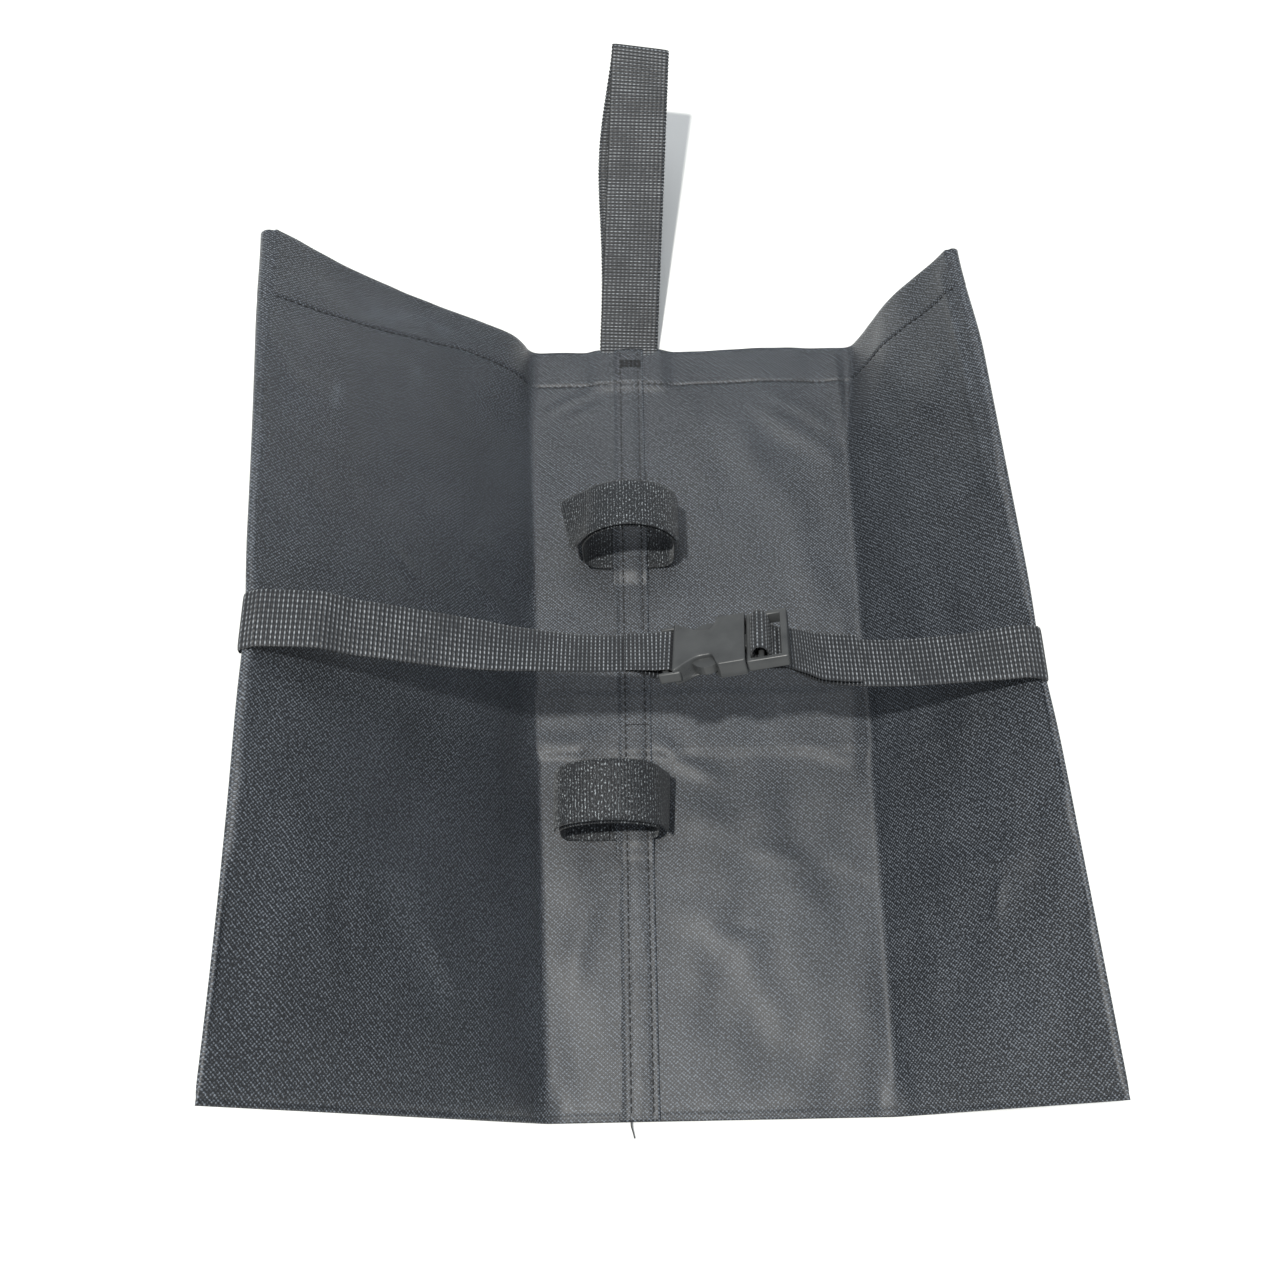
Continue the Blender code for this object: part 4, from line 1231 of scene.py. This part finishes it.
def socket():
    """A moulded shell, open at the plug's end, with rails out to the strap's bar."""
    back, mouth = SOCKET_ENDS
    us = merged(steps(back, mouth, 0.9 * MM) + steps(-9 * MM, -3 * MM, 0.45 * MM), 0.2 * MM)
    sections = [(back - 0.4 * MM, [(w * 0.96, n * 0.9) for w, n in socket_section(back)])]
    sections += [(u, socket_section(u)) for u in us]
    sections.append((mouth + 0.35 * MM, [(w * 0.97, n * 0.97) for w, n in socket_section(mouth)]))
    count = len(sections[0][1])
    for u in [mouth + 0.2 * MM] + [depth * MM for depth in (3, -3, -4.5, -7, -14, -19)]:
        sections.append((u, cavity_section(u, count)))
    points = [in_buckle(u, w, n) for u, section in sections for w, n in section]
    faces = tube_faces(len(sections), count, flip=True)
    faces.append(tuple(range(count)))
    faces.append(tuple(range(len(points) - count, len(points)))[::-1])
    shell = add_mesh("socket_moulding", points, faces, "acetal")
    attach(shell, "belt_and_socket")
    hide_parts("buckle_socket")
    blocks("socket_rails", SOCKET_RAILS, 0.9 * MM, "belt_and_socket")


def round_edges(obj, width, segments, by_angle=True):
    """Rounds every edge, or only the sharp ones if by_angle."""
    rounding = obj.modifiers.new("rounding", "BEVEL")
    rounding.width = width
    rounding.segments = segments
    if by_angle:
        rounding.limit_method = "ANGLE"


def blocks(name, boxes, edge, body):
    """Rounded blocks in the buckle's frame, each given in mm as its ends in u, w and n."""
    points, faces = [], []
    for us, ws, ns in boxes:
        base = len(points)
        points += [in_buckle(u * MM, w * MM, n * MM) for u in us for w in ws for n in ns]
        for face in ((0, 1, 3, 2), (4, 6, 7, 5), (0, 4, 5, 1), (2, 3, 7, 6), (0, 2, 6, 4), (1, 5, 7, 3)):
            faces.append(tuple(base + k for k in face))
    made = add_mesh(name, points, faces, "acetal")
    round_edges(made, edge, 4, by_angle=False)
    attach(made, body)


def pierced_plate(us, ws, openings, low, high):
    """A plate with openings, as points and faces. us and ws are its cuts, in mm."""
    points = [in_buckle(u * MM, w * MM, n) for n in (low, high) for u in us for w in ws]

    def at(i, j, top):
        return (top * len(us) + i) * len(ws) + j

    def full(i, j):
        return 0 <= i < len(us) - 1 and 0 <= j < len(ws) - 1 and (i, j) not in openings

    faces = []
    for i in range(len(us) - 1):
        for j in range(len(ws) - 1):
            if not full(i, j):
                continue
            corners = [(i, j), (i + 1, j), (i + 1, j + 1), (i, j + 1)]
            faces.append(tuple(at(*corner, 1) for corner in corners))
            faces.append(tuple(at(*corner, 0) for corner in corners)[::-1])
            for k, beyond in enumerate([(i, j - 1), (i + 1, j), (i, j + 1), (i - 1, j)]):
                if not full(*beyond):
                    a, b = corners[k], corners[(k + 1) % 4]
                    faces.append((at(*a, 0), at(*b, 0), at(*b, 1), at(*a, 1)))
    return points, faces


def plug():
    """The ladder that the belt runs through, and the tongue that guides it into the socket."""
    points, faces = pierced_plate(*LADDER_CUTS, {(1, 1), (3, 1)}, -PLUG_LOW, PLUG_HIGH)
    made = add_mesh("ladder_moulding", points, faces, "acetal")
    round_edges(made, 0.8 * MM, 4)
    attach(made, "plug")
    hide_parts("buckle_plug")
    blocks("plug_tongue", PLUG_TONGUE, 0.7 * MM, "plug")


def prongs():
    """The CAD prongs' own shape, copied and rounded."""
    for side in ("near", "far"):
        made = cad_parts[f"buckle_prong_{side}"].copy()
        made.data = made.data.copy()
        made.name = f"{side}_prong_moulding"
        made.data.materials.clear()
        made.data.materials.append(MATERIALS["acetal"])
        bpy.context.scene.collection.objects.link(made)
        round_edges(made, 0.45 * MM, 3)
        made.parent = None
        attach(made, f"{side}_prong")
        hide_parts(f"buckle_prong_{side}")


# ---- handle and leg straps


def handle():
    """A loop of webbing sewn in at the top of the seam, sharply folded at its tip."""
    root = Vector((0, END + 1.2 * MM, FOLD_Z + HANDLE_TUCK / 2))
    out = Vector((HANDLE_LEAN, math.cos(HANDLE_RISE), math.sin(HANDLE_RISE)))
    up = Vector((0, -math.sin(HANDLE_RISE), math.cos(HANDLE_RISE)))
    across = Vector((1, -HANDLE_LEAN, 0)).normalized()
    half = (HANDLE_THICK + GAP) / 2
    tip = HANDLE_LENGTH - half - HANDLE_THICK / 2

    def station(a, b, sideways=0.0):
        skewed = across - out * (0.1 * smooth((a / tip - 0.8) / 0.2))
        return root + out * a + up * b + across * sideways, skewed.normalized()

    def sewn_end(layer):
        return Vector((0, END - 5 * MM, root.z - 0.2 * MM + layer * 0.7)), X_AXIS

    stations = [sewn_end(half)] + [station(a, half) for a in spread(4 * MM, tip, 12)]
    stations += [station(tip + half * math.cos(t), half * math.sin(t)) for t in (0.9, 0.0, -0.9)]
    for a in spread(tip, 4 * MM, 22):
        bow = math.sin(math.pi * min(1.0, a / tip) ** 1.7) ** 1.6
        stations.append(station(a, -half - HANDLE_BOW * bow, HANDLE_SIDEWAYS * bow))
    stations.append(sewn_end(-half))
    strap = Strap(stations, HANDLE_WIDTH, HANDLE_THICK, HANDLE_RIB, 0.19 * MM, "webbing")
    made = strap.piece("handle_strap")
    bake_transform(made)
    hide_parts("handle_webbing")


def ring_point(ring, turn, extra=0.0):
    """A point on a wound strap, by angle from +X towards +Z. Its lower half is flatter."""
    x, y, half_width, half_height = ring
    z = RING_FLOOR + LEG_STRAP_THICK / 2 + half_height
    across, up = math.cos(turn), math.sin(turn)
    if up < 0:
        up = -((1 - abs(across) ** RING_SQUARENESS) ** (1 / RING_SQUARENESS))
    return Vector((x + (half_width + extra) * across, y, z + (half_height + extra) * up))


def leg_strap(name, ring, opens, tilt, held, free, twist, slack):
    """A wound strap whose outer layer peels off towards +X, or towards -X if opens is -1.

    tilt raises the near rim at the top. The outer layer is held down for so many degrees, and its
    free end is twisted. slack is how much smaller the inner windings are.
    """

    def station(shape, a, extra=0.0):
        rise = math.radians(tilt) * max(0.0, math.sin(a))
        return ring_point(shape, a, extra), Vector((0, math.cos(rise), -math.sin(rise)))

    def strap(stations, part):
        made = Strap(stations, LEG_STRAP_WIDTH, LEG_STRAP_THICK, LEG_STRAP_RIB, 0.05 * MM, "hook_and_loop")
        return made.piece(f"{name}_strap_{part}")

    x, y, half_width, half_height = ring
    wound = (x, y, half_width - slack * 0.6, half_height - slack)
    loop = strap([station(wound, math.radians(a)) for a in spread(-89, 269, 49)], "ring")
    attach(loop, "bag_centre")
    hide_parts(f"{name}_leg_strap_loop")
    layer = LEG_STRAP_THICK + 0.2 * MM
    turns = [math.radians(90 - opens * (90 - a)) for a in spread(0, held, 20)]
    stations = [station(ring, turn, layer) for turn in turns]
    last, width = stations[-1]
    away = (last - stations[-2][0]).normalized()
    for s in (0.35, 0.7, 1.0):
        stations.append((last + away * free * s, (width + Vector(twist) * s).normalized()))
    flap = strap(stations, "outer")
    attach(flap, f"{name}_flap")
    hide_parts(f"{name}_leg_strap_flap")


# ---- tapes inside the mouths


def mouth_tapes():
    """Hook tape on the front ply and loop tape on the back ply, sewn to the hem inside each mouth."""
    ys = spread(END - TAPE_SET_IN - TAPE_WIDTH, END - TAPE_SET_IN, 9)
    inwards = CLOTH * 1.5 + TURNED_IN + TAPE / 2
    for chamber, ends in ((LEFT, (0.46, 0.82)), (RIGHT, (0.60, 0.78))):
        shares = spread(*ends, 34)
        for kind, face in (("hook", 1), ("loop", -1)):
            points, uvs = [], []
            for y in ys:
                for share in shares:
                    d = chamber.edge_d(y) * share
                    raised = chamber.relief(d + abs(chamber.fold_x(y)), y, face) - inwards
                    n = chamber.front_n(y) - raised if face > 0 else chamber.back_n(share, y) + raised
                    points.append(chamber.point(d, n, y))
                    uvs.append((d, y))
            name = f"{chamber.name}_mouth_{kind}"
            faces = grid_faces(len(ys), len(shares))
            tape = thicken(add_mesh(f"{name}_strip", points, faces, "hook_and_loop", uvs), TAPE)
            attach(tape, f"{chamber.name}_wing")
            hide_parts(f"{name}_tape")


# ---- stage


def floor():
    mesh = bpy.data.meshes.new("floor")
    corners = [(x * FLOOR_HALF, y * FLOOR_HALF, 0) for x, y in ((-1, -1), (1, -1), (1, 1), (-1, 1))]
    mesh.from_pydata(corners, [], [(0, 1, 2, 3)])
    paper = Nodes("floor_paper", 0.85, specular=0.2)
    paper.shader.inputs["Base Color"].default_value = (0.90, 0.905, 0.89, 1)
    mesh.materials.append(paper.material)
    obj = placed("floor", mesh)
    obj.location.z = -FLOOR_DROP


def area_light(name, toward, distance, size, power, colour):
    data = bpy.data.lights.new(name, "AREA")
    data.shape = "DISK"
    data.size = size
    data.energy = power
    data.color = colour
    obj = placed(name, data)
    way = Vector(toward).normalized()
    obj.location = LIT_POINT + way * distance
    obj.rotation_mode = "QUATERNION"
    obj.rotation_quaternion = way.to_track_quat("Z", "Y")


def lights():
    area_light("key_light", (-0.2, -0.19, 1.0), 1.8, 0.08, 31.0, (1.0, 0.98, 0.93))
    area_light("overhead_softbox", (0.05, 0.42, 1.0), 1.9, 1.3, 7.0, (0.97, 0.985, 1.0))
    world = bpy.data.worlds.new("studio")
    world.use_nodes = True
    background = world.node_tree.nodes["Background"]
    background.inputs["Color"].default_value = (0.90, 0.95, 1.0, 1)
    background.inputs["Strength"].default_value = 0.5
    bpy.context.scene.world = world
    bpy.context.scene.view_settings.view_transform = "Standard"


def camera():
    data = bpy.data.cameras.new("camera")
    data.lens = CAMERA_LENS
    data.sensor_width = 36
    data.clip_start = 0.01
    obj = placed("camera", data)
    forward = Vector((0, math.sin(CAMERA_TILT), -math.cos(CAMERA_TILT)))
    level_up = Vector((0, math.cos(CAMERA_TILT), math.sin(CAMERA_TILT)))
    right = X_AXIS * math.cos(CAMERA_ROLL) + level_up * math.sin(CAMERA_ROLL)
    up = level_up * math.cos(CAMERA_ROLL) - X_AXIS * math.sin(CAMERA_ROLL)
    turn = Matrix((right, up, -forward)).transposed()
    obj.matrix_world = Matrix.Translation(CAMERA_PLACE) @ turn.to_4x4()
    bpy.context.scene.camera = obj


# ---- all of it

camera()
lights()
floor()
bag_cloths()
seam_flap()
seam_stitches()
hem_stitches()
bartack("handle_bar_of_stitches", "handle_bartack", END - 12 * MM, END - 8 * MM)
bartack("belt_bar_of_stitches", "belt_bartack", BELT_Y - 1.2 * MM, BELT_Y - 1.2 * MM)
thread_tail()
belts()
ladder_webbing()
socket()
plug()
prongs()
handle()
leg_strap("upper", UPPER_RING, 1, 9, 146, 17 * MM, (-0.22, 0, 0.12), 0.5 * MM)
leg_strap("lower", LOWER_RING, -1, -12, 168, 8 * MM, (0.05, 0, 0), 1.6 * MM)
mouth_tapes()
